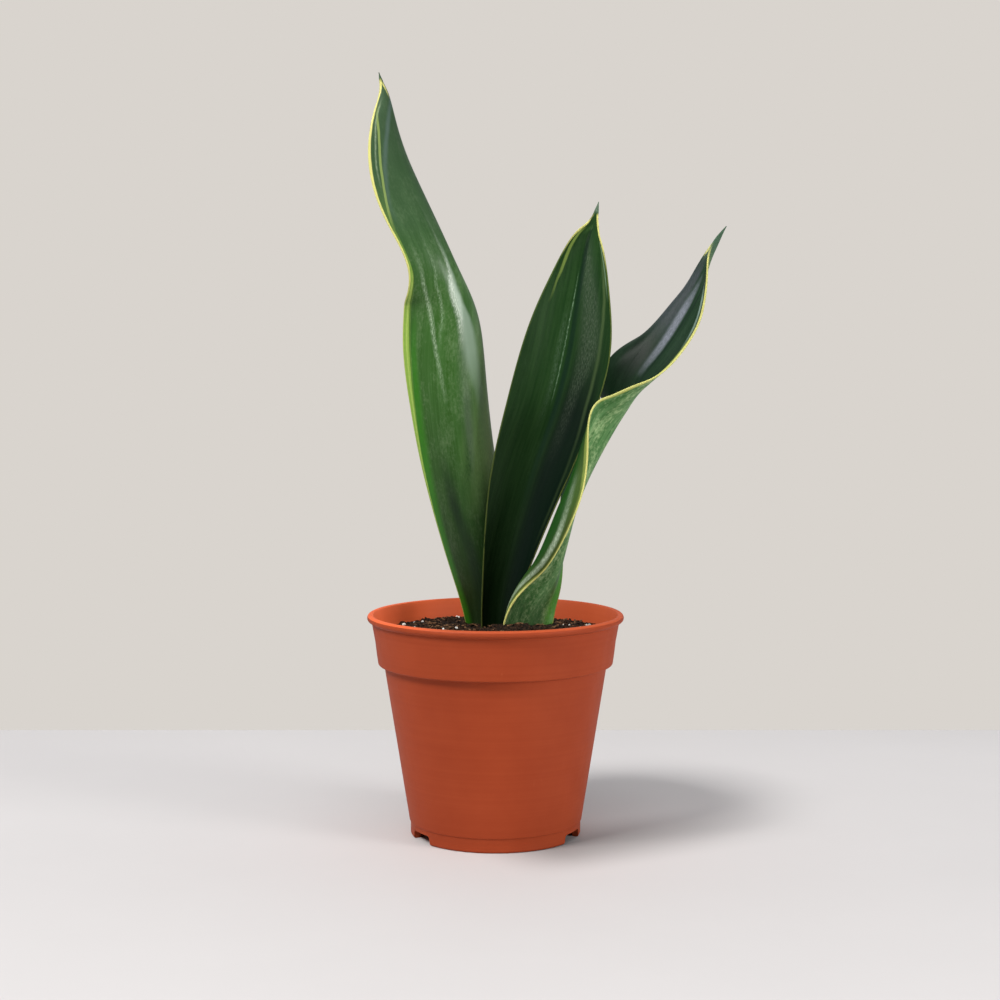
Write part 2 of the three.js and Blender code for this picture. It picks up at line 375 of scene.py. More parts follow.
def turned(outline: Sequence[Sequence[float]], sides: int) -> np.ndarray:
    """Turns an outline about the upright axis.

    Args:
        outline: points as radius and height.
        sides: how many places each ring has.

    Returns:
        Points as (row, place round the axis, xyz).
    """
    radius, height = np.array(outline, dtype=float).T[..., None]
    angles = np.linspace(0.0, math.tau, sides, endpoint=False)
    rings = np.broadcast_arrays(radius * np.cos(angles), radius * np.sin(angles), height)
    return np.stack(rings, axis=-1)


def sharpen(mesh: bpy.types.Mesh, degrees: float) -> None:
    """Smooth faces all over, with hard edges where two faces meet at more than this angle."""
    mesh.polygons.foreach_set("use_smooth", np.ones(len(mesh.polygons), dtype=bool))
    mesh.set_sharp_from_angle(angle=math.radians(degrees))


def soft_step(value: np.ndarray, low: float, high: float) -> np.ndarray:
    """Zero below low, one above high, smooth between."""
    place = np.clip((value - low) / (high - low), 0.0, 1.0)
    return place * place * (3.0 - 2.0 * place)


def spline(rows: np.ndarray, places: np.ndarray) -> np.ndarray:
    """A natural cubic spline through rows that lie one apart.

    Args:
        rows: the values to pass through, as (row, value).
        places: where to read the spline, from 0 to the last row's number.

    Returns:
        The values there, as (place, value).
    """
    count = len(rows)
    system = np.eye(count) * 4.0 + np.eye(count, k=1) + np.eye(count, k=-1)
    right = np.zeros_like(rows)
    right[1:-1] = 6.0 * (rows[2:] - 2.0 * rows[1:-1] + rows[:-2])
    system[0, :2] = system[-1, -2:] = 0.0
    system[0, 0] = system[-1, -1] = 1.0
    bend = np.linalg.solve(system, right)
    index = np.clip(places.astype(int), 0, count - 2)
    far = (places - index)[:, None]
    near = 1.0 - far
    return (
        near * rows[index]
        + far * rows[index + 1]
        + ((near**3 - near) * bend[index] + (far**3 - far) * bend[index + 1]) / 6.0
    )


def unit(vectors: np.ndarray) -> np.ndarray:
    """Vectors scaled to a length of one."""
    return vectors / np.maximum(np.linalg.norm(vectors, axis=-1, keepdims=True), 1e-12)


# --- Leaves -----------------------------------------------------------------------------------


class Blade(Enum):
    """The three leaves, by the names of their nodes."""

    LEFT = "leaf_left"
    CENTRE = "leaf_centre"
    RIGHT = "leaf_right"


class Measure(Enum):
    """What the place of a stripe across a leaf is measured from."""

    RIGHT = "right margin"
    LEFT = "left margin"
    KEEL = "keel"


class Face(Enum):
    """The faces of a leaf that a stripe is on."""

    OUTER = "outer"
    INNER = "inner"
    BOTH = "both"


@dataclass(frozen=True)
class SkinPlace:
    """Where on a leaf's skin a point is, and the noise there."""

    right: Shade
    left: Shade
    across: Shade
    along: Shade
    inner: Shade
    grit: Shade
    wobble: Shade

    def measured(self, measure: Measure) -> Shade:
        """Millimetres from a margin, or to the right of the keel."""
        places = {Measure.RIGHT: self.right, Measure.LEFT: self.left, Measure.KEEL: self.across}
        return places[measure]


@dataclass(frozen=True)
class Stripe:
    """A stripe along a leaf: painted in its tint, or a stretch of the skin that shines.

    The centre and the width are in millimetres; a centre of zero at a margin makes an edge band.
    """

    measure: Measure
    centre: Stops
    width: Stops
    strength: Stops
    tint: Tint | None = None
    soft: float = 0.5
    broken: float = 0.0
    wobble: float = 0.8
    face: Face = Face.BOTH

    def mask(self, nodes: Nodes, place: SkinPlace) -> Shade:
        """How strong the stripe is.

        Args:
            nodes: the material in making.
            place: where on the leaf a point is.

        Returns:
            Zero to one.
        """
        gap = place.measured(self.measure) + place.wobble * self.wobble
        half = nodes.profile(place.along, self.width) * 0.5
        away = (gap - nodes.profile(place.along, self.centre)).size()
        mask = away.rises(half, half * (1.0 - self.soft)) * nodes.profile(place.along, self.strength)
        if self.broken:
            mask = mask * (1.0 - self.broken + self.broken * place.grit.rises(0.4, 0.68) * 1.4)
        if self.face is Face.OUTER:
            mask = mask * (1.0 - place.inner)
        elif self.face is Face.INNER:
            mask = mask * place.inner
        return mask


@dataclass(frozen=True)
class FaceFinish:
    """The greens of one face of a blade, and how light it is from the foot to the tip, which is painted
    light and shade.
    """

    deep: Tint
    middle: Tint
    pale: Tint
    mottle: float = 0.35
    # darker towards the foot: painted shade
    light: Stops = ((0.0, 0.35), (0.55, 1.0))

    def green(self, nodes: Nodes, streaks: Shade, mottle: Shade, along: Shade) -> Shade:
        """The green of this face.

        Args:
            nodes: the material in making.
            streaks: fine noise along the leaf.
            mottle: broad noise across it.
            along: zero at the foot and one at the tip.

        Returns:
            The colour.
        """
        green = nodes.mix(streaks.rises(0.35, 0.7), self.deep, self.middle)
        green = nodes.mix(mottle.rises(0.45, 0.72) * self.mottle, green, self.pale)
        # painted light and shade along the leaf
        return nodes.tinted(green, nodes.profile(along, self.light))


@dataclass(frozen=True)
class LeafFinish:
    """The waxy skin of a leaf: green flesh, streaks and mottling along it, stripes over it, some of them
    painted shade, highlights and reflections.
    """

    name: str
    outer: FaceFinish
    inner: FaceFinish
    stripes: Sequence[Stripe]
    glosses: Sequence[Stripe] = ()
    coat: float = 0.25
    coat_roughness: float = 0.2
    roughness: float = 0.42
    gloss: float = 0.25
    seed: float = 0.0

    def drawn_out(
        self, nodes: Nodes, skin: Shade, across: float, along: float, detail: float, rough: float
    ) -> Shade:
        """Noise drawn out along the leaf.

        Args:
            nodes: the material in making.
            skin: millimetres from the keel and along the leaf.
            across: its scale across the leaf.
            along: its scale along the leaf.
            detail: how many finer layers it has.
            rough: how strong those are.

        Returns:
            The noise.
        """
        place = nodes.stretched(skin, (across, along, 1.0), (self.seed, 0.0, 0.0))
        return nodes.speckle(place, 1.0, detail, rough)

    def material(self) -> bpy.types.Material:
        """Makes the leaf's material."""
        nodes = Nodes.named(self.name)
        bands = nodes.make("ShaderNodeAttribute", {"attribute_name": "bands"}, output="Vector")
        right, left, along = nodes.parts(bands)
        skin = nodes.make("ShaderNodeAttribute", {"attribute_name": "skin"}, output="Vector")
        across, _, _ = nodes.parts(skin)
        inner = nodes.make("ShaderNodeAttribute", {"attribute_name": "inner"}, output="Fac")

        fibres = self.drawn_out(nodes, skin, 1.1, 0.035, 5.0, 0.6)
        veins = self.drawn_out(nodes, skin, 0.28, 0.01, 3.0, 0.5)
        clouds = self.drawn_out(nodes, skin, 0.12, 0.05, 6.0, 0.65)
        flecks = self.drawn_out(nodes, skin, 1.1, 0.5, 3.0, 0.65)
        grit = self.drawn_out(nodes, skin, 2.3, 0.5, 3.0, 0.7)
        wobble = self.drawn_out(nodes, skin, 0.15, 0.06, 3.0, 0.6) - 0.5
        place = SkinPlace(right, left, across, along, inner, grit, wobble)

        streaks = fibres * 0.5 + veins * 0.5
        mottle = clouds * 0.6 + flecks * 0.4
        outer_green = self.outer.green(nodes, streaks, mottle, along)
        green = nodes.mix(inner, outer_green, self.inner.green(nodes, streaks, mottle, along))
        for stripe in self.stripes:
            green = nodes.mix(stripe.mask(nodes, place), green, stripe.tint)
        coat: Shade | float = self.coat
        for gloss in self.glosses:
            mask = gloss.mask(nodes, place)
            coat = coat * (1.0 - mask) + mask
        grain = fibres * 0.5 + grit * 0.5
        return nodes.finish_principled(
            Base_Color=green,
            Roughness=self.roughness + (grain - 0.5) * 0.3,
            Normal=nodes.bump(veins, 0.0005, 0.6, under=nodes.bump(grain, 0.0001, 0.6)),
            IOR=1.45,
            Specular_IOR_Level=self.gloss,
            Coat_Weight=coat * (0.7 + grit * 0.6),
            Coat_Roughness=self.coat_roughness,
            Coat_IOR=1.5,
        )


@dataclass
class LeafBlade:
    """A long leaf, made as the part's source makes it but with a finer skin.

    Each station is keel x, y, z, right and left half width, facing, curl, right lip, left lip;
    lips that are left out are zero.
    The rim turns are where the points round a margin lie, in degrees from the inner face. The
    measure beyond the keel is what the far half adds to a margin's distance, in millimetres.
    """

    blade: Blade
    slot: str
    stations: Sequence[Sequence[float]]
    finish: LeafFinish
    crease: float = 0.7
    lip_start: float = 0.55
    station_size: int = 9
    rows_per_station: int = 22
    across: int = 56
    keel_places: Sequence[float] = (0.0, 0.4, 1.0)
    keel_thickness: Sequence[float] = (2.8, 2.2, 1.2)
    margin_thickness: float = 0.75
    section_power: float = 1.5
    tip_thinning: float = 0.7
    tip_thinning_start: float = 0.94
    tip_taper: float = 0.45
    tip_stations: float = 0.6
    least_width: float = 0.12
    substeps: int = 6
    rim_turns: Sequence[float] = (45.0, 90.0, 135.0)
    beyond_keel: float = 40.0

    def halves(
        self, width: np.ndarray, curl: np.ndarray, lip: np.ndarray
    ) -> tuple[np.ndarray, np.ndarray]:
        """Follows one half of every section outwards from the keel.

        Args:
            width: half width of each row.
            curl: how far the half turns up, in degrees.
            lip: how far the margin rolls back, in degrees.

        Returns:
            Distances across and up, as (row, point), starting with the keel.
        """
        steps = self.across // 2 * self.substeps
        place = (np.arange(steps) + 0.5) / steps
        roll = soft_step(place, self.lip_start, 1.0)
        slope = np.radians(curl[:, None] * place**self.crease - lip[:, None] * roll)
        step = width[:, None] / steps
        start, kept = np.zeros((len(width), 1)), slice(self.substeps - 1, None, self.substeps)
        across = np.hstack([start, np.cumsum(np.cos(slope) * step, axis=1)[:, kept]])
        up = np.hstack([start, np.cumsum(np.sin(slope) * step, axis=1)[:, kept]])
        return across, up

    def sheet(self) -> tuple[np.ndarray, np.ndarray, np.ndarray, np.ndarray]:
        """The blade's middle surface.

        Returns:
            Points as (row, place across, xyz), half widths (row, right and left), place along the
            leaf from 0 to 1, and distance along it in millimetres.
        """
        missing = [(0.0,) * (self.station_size - len(row)) for row in self.stations]
        table = np.array([(*row, *zeros) for row, zeros in zip(self.stations, missing)])
        last = len(table) - 1
        count = last * self.rows_per_station + 1
        places = np.linspace(0.0, last, count)
        values = spline(table, places)
        keel = values[:, :3]
        taper = self.tip_taper * soft_step(places, last - self.tip_stations, last)
        widths = np.maximum(values[:, 3:5] - taper[:, None], self.least_width)
        facing = np.radians(values[:, 5])
        tangent = unit(np.gradient(keel, axis=0))
        inward = np.stack([np.cos(facing), np.sin(facing), np.zeros(count)], axis=1)
        inward = unit(inward - tangent * np.sum(inward * tangent, axis=1, keepdims=True))
        side = np.cross(tangent, inward)
        right = self.halves(widths[:, 0], values[:, 6], values[:, 7])
        left = self.halves(widths[:, 1], values[:, 6], values[:, 8])
        across = np.hstack([-left[0][:, :0:-1], right[0]])
        up = np.hstack([left[1][:, :0:-1], right[1]])
        points = keel[:, None] + side[:, None] * across[..., None] + inward[:, None] * up[..., None]
        length = np.concatenate([[0.0], np.cumsum(np.linalg.norm(np.diff(keel, axis=0), axis=1))])
        return points, widths, places / last, length

    def thickness(self, along: np.ndarray, place: np.ndarray) -> np.ndarray:
        """Thickness in millimetres, thickest at the keel and thinning to the margins and the tip."""
        keel = np.interp(along, self.keel_places, self.keel_thickness)[:, None]
        margin = np.minimum(self.margin_thickness, keel)
        tip = 1.0 - self.tip_thinning * soft_step(along, self.tip_thinning_start, 1.0)[:, None]
        return (keel + (margin - keel) * np.abs(place)[None] ** self.section_power) * tip

    def rim(
        self, middle: np.ndarray, normal: np.ndarray, out: np.ndarray, half: np.ndarray
    ) -> np.ndarray:
        """Rounds a margin.

        Args:
            middle: the middle of the blade at the margin, a point a row.
            normal: the way to the inner face there.
            out: the way out past the margin.
            half: half the thickness.

        Returns:
            Points from the inner face round to the outer one, as (row, point, xyz).
        """
        turns = [math.radians(turn) for turn in self.rim_turns]
        ways = [normal * math.cos(turn) + out * math.sin(turn) for turn in turns]
        return np.stack([middle + half * way for way in ways], axis=1)

    def build(self) -> bpy.types.Object:
        """Makes the leaf's object, with the attributes that its material reads."""
        points, widths, along, length = self.sheet()
        place = np.linspace(-1.0, 1.0, self.across + 1)
        half = self.thickness(along, place)[..., None] / 2.0
        over = unit(np.gradient(points, axis=1))
        normal = unit(np.cross(over, unit(np.gradient(points, axis=0))))
        right_rim = self.rim(points[:, -1], normal[:, -1], over[:, -1], half[:, -1])
        left_rim = self.rim(points[:, 0], normal[:, 0], -over[:, 0], half[:, 0])[:, ::-1]
        inner, outer = points + normal * half, points - normal * half
        rings = np.concatenate([inner, right_rim, outer[:, ::-1], left_rim], axis=1)
        mesh = grid_mesh(self.blade.value, in_frame(rings), capped=True)
        on_right, on_left = np.maximum(place, 0.0), np.maximum(-place, 0.0)
        gap_right = (1.0 - on_right) * widths[:, :1] + on_left * self.beyond_keel
        gap_left = (1.0 - on_left) * widths[:, 1:] + on_right * self.beyond_keel
        across = on_right * widths[:, :1] - on_left * widths[:, 1:]
        self.write(mesh, "bands", [gap_right, gap_left, np.repeat(along[:, None], len(place), 1)])
        self.write(mesh, "skin", [across, np.repeat(length[:, None], len(place), 1), across * 0])
        self.write_faces(mesh, len(along), len(place))
        thing = make_object(self.blade.value + "_blade", mesh)
        mesh.materials.append(self.finish.material())
        return thing

    def write(self, mesh: bpy.types.Mesh, name: str, fields: Sequence[np.ndarray]) -> None:
        """Writes three values a point, given over the sheet, to both faces of the skin.

        Args:
            mesh: the leaf's mesh.
            name: the attribute's name.
            fields: three arrays of (row, place across).
        """
        sheet = np.stack(fields, axis=-1)
        right = np.repeat(sheet[:, -1:], len(self.rim_turns), axis=1)
        left = np.repeat(sheet[:, :1], len(self.rim_turns), axis=1)
        rings = np.concatenate([sheet, right, sheet[:, ::-1], left], axis=1).reshape(-1, 3)
        ends = np.stack([sheet[0].mean(axis=0), sheet[-1].mean(axis=0)])
        made = mesh.attributes.new(name, "FLOAT_VECTOR", "POINT")
        made.data.foreach_set("vector", np.concatenate([rings, ends]).astype(np.float32).ravel())

    def write_faces(self, mesh: bpy.types.Mesh, rows: int, places: int) -> None:
        """Writes which face of the blade a point is on: one inside, zero outside."""
        edge = [1.0 - turn / 180.0 for turn in self.rim_turns]
        ring = [1.0] * places + edge + [0.0] * places + edge[::-1]
        made = mesh.attributes.new("inner", "FLOAT", "POINT")
        made.data.foreach_set("value", np.array(ring * rows + [0.5, 0.5], dtype=np.float32))

    def dress(self) -> bpy.types.Object:
        """Builds the leaf and puts it in its node's place."""
        thing = self.build()
        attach(thing, "root")
        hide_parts(self.blade.value)
        return thing


# --- Pot --------------------------------------------------------------------------------------


@dataclass(frozen=True)
class PotPlastic:
    """Thin orange-brown moulded plastic with a satin skin, faint rings and small scuffs."""

    name: str = "pot_plastic"
    body: Tint = colour(160, 67, 35)
    dark: Tint = colour(149, 59, 29)
    pale: Tint = colour(176, 88, 54)
    roughness: float = 0.55
    # glow and the lighter left side below are painted light: an emission, and a lighter tone towards the
    # left
    glow: float = 0.0
    painted_light_left: float = 0.0
    painted_light_base: float = 0.86
    painted_light_start: float = -0.044
    painted_light_end: float = -0.067

    def material(self) -> bpy.types.Material:
        """Makes the pot's material, with painted light where it is set: lighter towards the left, and a
        glow.
        """
        nodes = Nodes.named(self.name)
        place = nodes.make("ShaderNodeTexCoord", output="Object")
        rings = nodes.speckle(nodes.stretched(place, (4.0, 4.0, 700.0)), 1.0, 3.0, 0.6)
        clouds = nodes.speckle(place, 28.0, 5.0, 0.6)
        grain = nodes.speckle(place, 1800.0, 2.0, 0.5)
        dust = nodes.speckle(nodes.stretched(place, (1.0, 1.0, 0.4)), 260.0, 4.0, 0.7)
        tone = nodes.mix((clouds * 0.65 + rings * 0.35).rises(0.3, 0.75), self.dark, self.body)
        tone = nodes.mix(dust.rises(0.66, 0.8) * 0.35, tone, self.pale)
        # painted light: the tone is lighter towards the left
        if self.painted_light_left:
            side, _, _ = nodes.parts(place)
            left_light = side.rises(self.painted_light_start, self.painted_light_end)
            tone = nodes.tinted(tone, self.painted_light_base + self.painted_light_left * left_light)
        relief = nodes.bump(rings * 0.3 + grain * 0.7, 0.00006, 0.5)
        return nodes.finish_principled(
            Base_Color=tone,
            Roughness=self.roughness + (dust - 0.5) * 0.2 + (grain - 0.5) * 0.1,
            Normal=relief,
            IOR=1.47,
            Specular_IOR_Level=0.14,
            # painted light: the glow makes the plastic look lit though it is no lamp
            Emission_Color=tone,
            Emission_Strength=self.glow,
        )


@dataclass
class Pot:
    """The nursery pot, in millimetres, turned from the same profile as its node.

    The inside finish, a lighter copy of the plastic that glows, is painted light; it covers the inner wall
    above the lit floor, and the rim's top above the lit rim. The notches and drains are cut between their
    reaches and heights.
    """

    finish: PotPlastic = PotPlastic()
    # painted light: the inside is a lighter copy of the plastic that glows, and lighter still towards the
    # left
    inside: PotPlastic = PotPlastic(
        "pot_plastic_inside",
        colour(186, 84, 48),
        colour(176, 76, 42),
        colour(200, 104, 68),
        glow=0.22,
        painted_light_left=0.56,
    )
    sides: int = 256
    rim_height: float = 104.0
    rim_radius: float = 60.0
    bead_radius: float = 1.7
    wall: float = 1.5
    collar_top_radius: float = 58.0
    collar_foot_radius: float = 55.0
    collar_foot_height: float = 80.5
    body_top_radius: float = 52.2
    body_foot_radius: float = 40.5
    body_foot_height: float = 7.0
    foot_radius: float = 40.0
    base_underside: float = 5.0
    notch_angles: Sequence[float] = (-60.0, 64.0, 180.0)
    notch_width: float = 16.0
    notch_height: float = 4.3
    notch_reach: tuple[float, float] = (-3.0, 6.0)
    drain_heights: tuple[float, float] = (2.0, 9.0)
    drain_radius: float = 3.5
    drain_circle: float = 31.0
    drain_sides: int = 32
    hard_edge: float = 28.0
    lit_floor: float = 10.0
    lit_rim: float = 102.5
    wall_facing: float = -0.3
    rim_facing: float = 0.5

    def inside_radius(self, height: float) -> float:
        """How far the inside of the wall is from the axis at a height."""
        if height < self.collar_foot_height:
            heights = (self.body_foot_height, self.collar_foot_height)
            radii = (self.body_foot_radius, self.body_top_radius)
        else:
            heights = (self.collar_foot_height, self.rim_height)
            radii = (self.collar_foot_radius, self.collar_top_radius)
        share = (height - heights[0]) / (heights[1] - heights[0])
        return radii[0] + (radii[1] - radii[0]) * share - self.wall

    @staticmethod
    def arc(
        centre: Sequence[float], radius: float, start: float, end: float, steps: int
    ) -> list[list[float]]:
        """Points of an arc.

        Args:
            centre: its middle, as radius and height.
            radius: its radius.
            start: the angle it starts at, in degrees.
            end: the angle it ends at.
            steps: how many pieces it has.

        Returns:
            Points as radius and height.
        """
        angles = [math.radians(start + (end - start) * step / steps) for step in range(steps + 1)]
        return [[centre[0] + radius * math.cos(a), centre[1] + radius * math.sin(a)] for a in angles]

    def profile(self) -> list[list[float]]:
        """The wall's outline, from the middle of the underside round to the middle of the floor."""
        bead = [self.rim_radius - self.bead_radius, self.rim_height - self.bead_radius]
        shelf = self.collar_foot_height + self.wall
        floor = self.base_underside + self.wall
        foot, collar = self.foot_radius, self.collar_foot_height
        return [
            [0.01, self.base_underside],
            [foot - 3.4, self.base_underside],
            [foot - 3.2, 0.3],
            [foot - 2.9, 0.0],
            *self.arc([foot - 1.2, 1.2], 1.2, -90, 0, 6),
            [foot, self.body_foot_height - 0.55],
            [foot + 0.15, self.body_foot_height - 0.25],
            [self.body_foot_radius, self.body_foot_height],
            [self.body_foot_radius + 0.1, self.body_foot_height + 0.5],
            *self.straight(self.body_foot_height + 0.5, collar - 1.0, 14),
            *self.arc([self.body_top_radius + 0.45, collar - 0.5], 0.5, 180, 90, 3),
            *self.arc([self.collar_foot_radius - 0.9, collar + 0.9], 0.9, -90, 0, 5),
            [self.collar_foot_radius + 0.6, collar + 5.0],
            [self.collar_foot_radius + 1.3, collar + 11.0],
            [self.collar_top_radius - 0.4, bead[1] - self.bead_radius - 2.0],
            [self.collar_top_radius - 0.15, bead[1] - self.bead_radius - 0.4],
            *self.arc(bead, self.bead_radius, -70, 130, 16),
            [self.inside_radius(self.rim_height - 3), self.rim_height - 3],
            [self.inside_radius(shelf + 3), shelf + 3],
            [self.inside_radius(shelf), shelf + 0.5],
            [self.inside_radius(shelf - 4) + 0.2, shelf - 2.4],
            [self.inside_radius(shelf - 4), shelf - 4],
            [self.inside_radius(floor + 2), floor + 2],
            [self.inside_radius(floor) - 2, floor],
            [0.01, floor],
        ]

    def straight(self, low: float, high: float, steps: int) -> list[list[float]]:
        """Points up the outside of the tapering body between two heights."""
        heights = [low + (high - low) * step / steps for step in range(1, steps + 1)]
        return [[self.inside_radius(height) + self.wall, height] for height in heights]

    def cutters(self) -> list[bpy.types.Object]:
        """The solids that cut the notches through the foot ring and the drain holes behind them."""
        made = []
        half, top = self.notch_width / 2, self.notch_height
        outline = [(-half, -1), (half, -1), (half - 0.6, top - 1.4), (half - 1, top - 0.5), (half - 2, top)]
        outline += [(-x, z) for x, z in outline[:1:-1]]
        edges = [reach - self.foot_radius for reach in self.notch_reach]
        slot = np.array([[(x, y, z) for x, z in outline] for y in edges])
        drain = turned([(self.drain_radius, height) for height in self.drain_heights], self.drain_sides)
        drain -= np.array([0.0, self.drain_circle, 0.0])
        for number, angle in enumerate(self.notch_angles):
            turn = math.radians(angle)
            for kind, points in (("notch", slot), ("drain", drain)):
                spun = points.copy()
                spun[..., 0] = points[..., 0] * math.cos(turn) - points[..., 1] * math.sin(turn)
                spun[..., 1] = points[..., 0] * math.sin(turn) + points[..., 1] * math.cos(turn)
                mesh = grid_mesh(f"{kind}_{number}", in_frame(spun), capped=True)
                outwards(mesh)
                made.append(make_object(f"{kind}_{number}", mesh))
        return made

    def build(self) -> bpy.types.Object:
        """Turns the pot, cuts its foot and dresses it."""
        mesh = grid_mesh("pot_shell", in_frame(turned(self.profile(), self.sides)), capped=True)
        outwards(mesh)
        thing = make_object("pot_shell", mesh)
        for cutter in self.cutters():
            change = thing.modifiers.new(cutter.name, "BOOLEAN")
            change.operation = "DIFFERENCE"
            change.solver = "EXACT"
            change.object = cutter
            flatten(thing)
            bpy.data.objects.remove(cutter)
        sharpen(thing.data, self.hard_edge)
        thing.data.materials.clear()
        thing.data.materials.append(self.finish.material())
        thing.data.materials.append(self.inside.material())
        axis = Vector(POT_AXIS) * MM
        for face in thing.data.polygons:
            out = (face.center - axis).to_2d()
            inner_wall = face.normal.to_2d().dot(out.normalized()) < self.wall_facing
            rim_top = face.center.z > self.lit_rim * MM and face.normal.z > self.rim_facing
            if face.center.z > self.lit_floor * MM and (inner_wall or rim_top):
                face.material_index = 1
        return thing

    def dress(self) -> bpy.types.Object:
        """Builds the pot and puts it in its node's place."""
        thing = self.build()
        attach(thing, "root")
        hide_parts("pot")
        return thing


def outwards(mesh: bpy.types.Mesh) -> None:
    """Turns every face of a closed mesh to look outwards."""
    bm = bmesh.new()
    bm.from_mesh(mesh)
    bmesh.ops.recalc_face_normals(bm, faces=bm.faces)
    bm.to_mesh(mesh)
    bm.free()


def flatten(thing: bpy.types.Object) -> None:
    """Turns an object's modifiers into plain mesh and removes them."""
    graph = bpy.context.evaluated_depsgraph_get()
    mesh = bpy.data.meshes.new_from_object(thing.evaluated_get(graph), depsgraph=graph)
    thing.modifiers.clear()
    old = thing.data
    thing.data = mesh
    mesh.name = thing.name
    if old.users == 0:
        bpy.data.meshes.remove(old)


# --- Potting mix ------------------------------------------------------------------------------


class Grain(Enum):
    """What is strewn on the mix."""

    CRUMB = "soil_crumbs"
    FIBRE = "bark_fibres"
    PERLITE = "perlite_grains"


@dataclass(frozen=True)
class MixFinish:
    """Dark, moist peat and bark."""

    name: str
    dark: Tint
    light: Tint
    scale: float
    height: float
    roughness: float = 0.9

    def material(self) -> bpy.types.Material:
        """Makes the mix's material."""
        nodes = Nodes.named(self.name)
        place = nodes.make("ShaderNodeTexCoord", output="Object")
        clumps = nodes.speckle(place, self.scale, 6.0, 0.65)
        chips = nodes.make(
            "ShaderNodeTexVoronoi",
            {"feature": "F1"},
            {"Vector": nodes.stretched(place, (1.0, 1.8, 1.4)), "Scale": self.scale * 1.3},
            "Color",
        )
        tone = nodes.mix(clumps.rises(0.38, 0.68), self.dark, self.light)
        patch = nodes.make("ShaderNodeSeparateColor", {}, {0: chips})
        tone = nodes.tinted(tone, 0.65 + patch * 0.7)
        relief = nodes.bump(clumps * 0.7 + patch * 0.3, self.height, 0.9)
        return nodes.finish_principled(
            Base_Color=tone,
            Roughness=self.roughness + (clumps - 0.5) * 0.3,
            Normal=relief,
            Specular_IOR_Level=0.15,
        )


@dataclass(frozen=True)
class Strewing:
    """How one kind of grain is strewn. Sizes are metres."""

    grain: Grain
    finish: MixFinish
    density: float
    smallest: float
    largest: float
    shape: Triple
    roughen: float
    seed: int
    lift: float
    tilt: float = 3.14159
    rings: int = 2


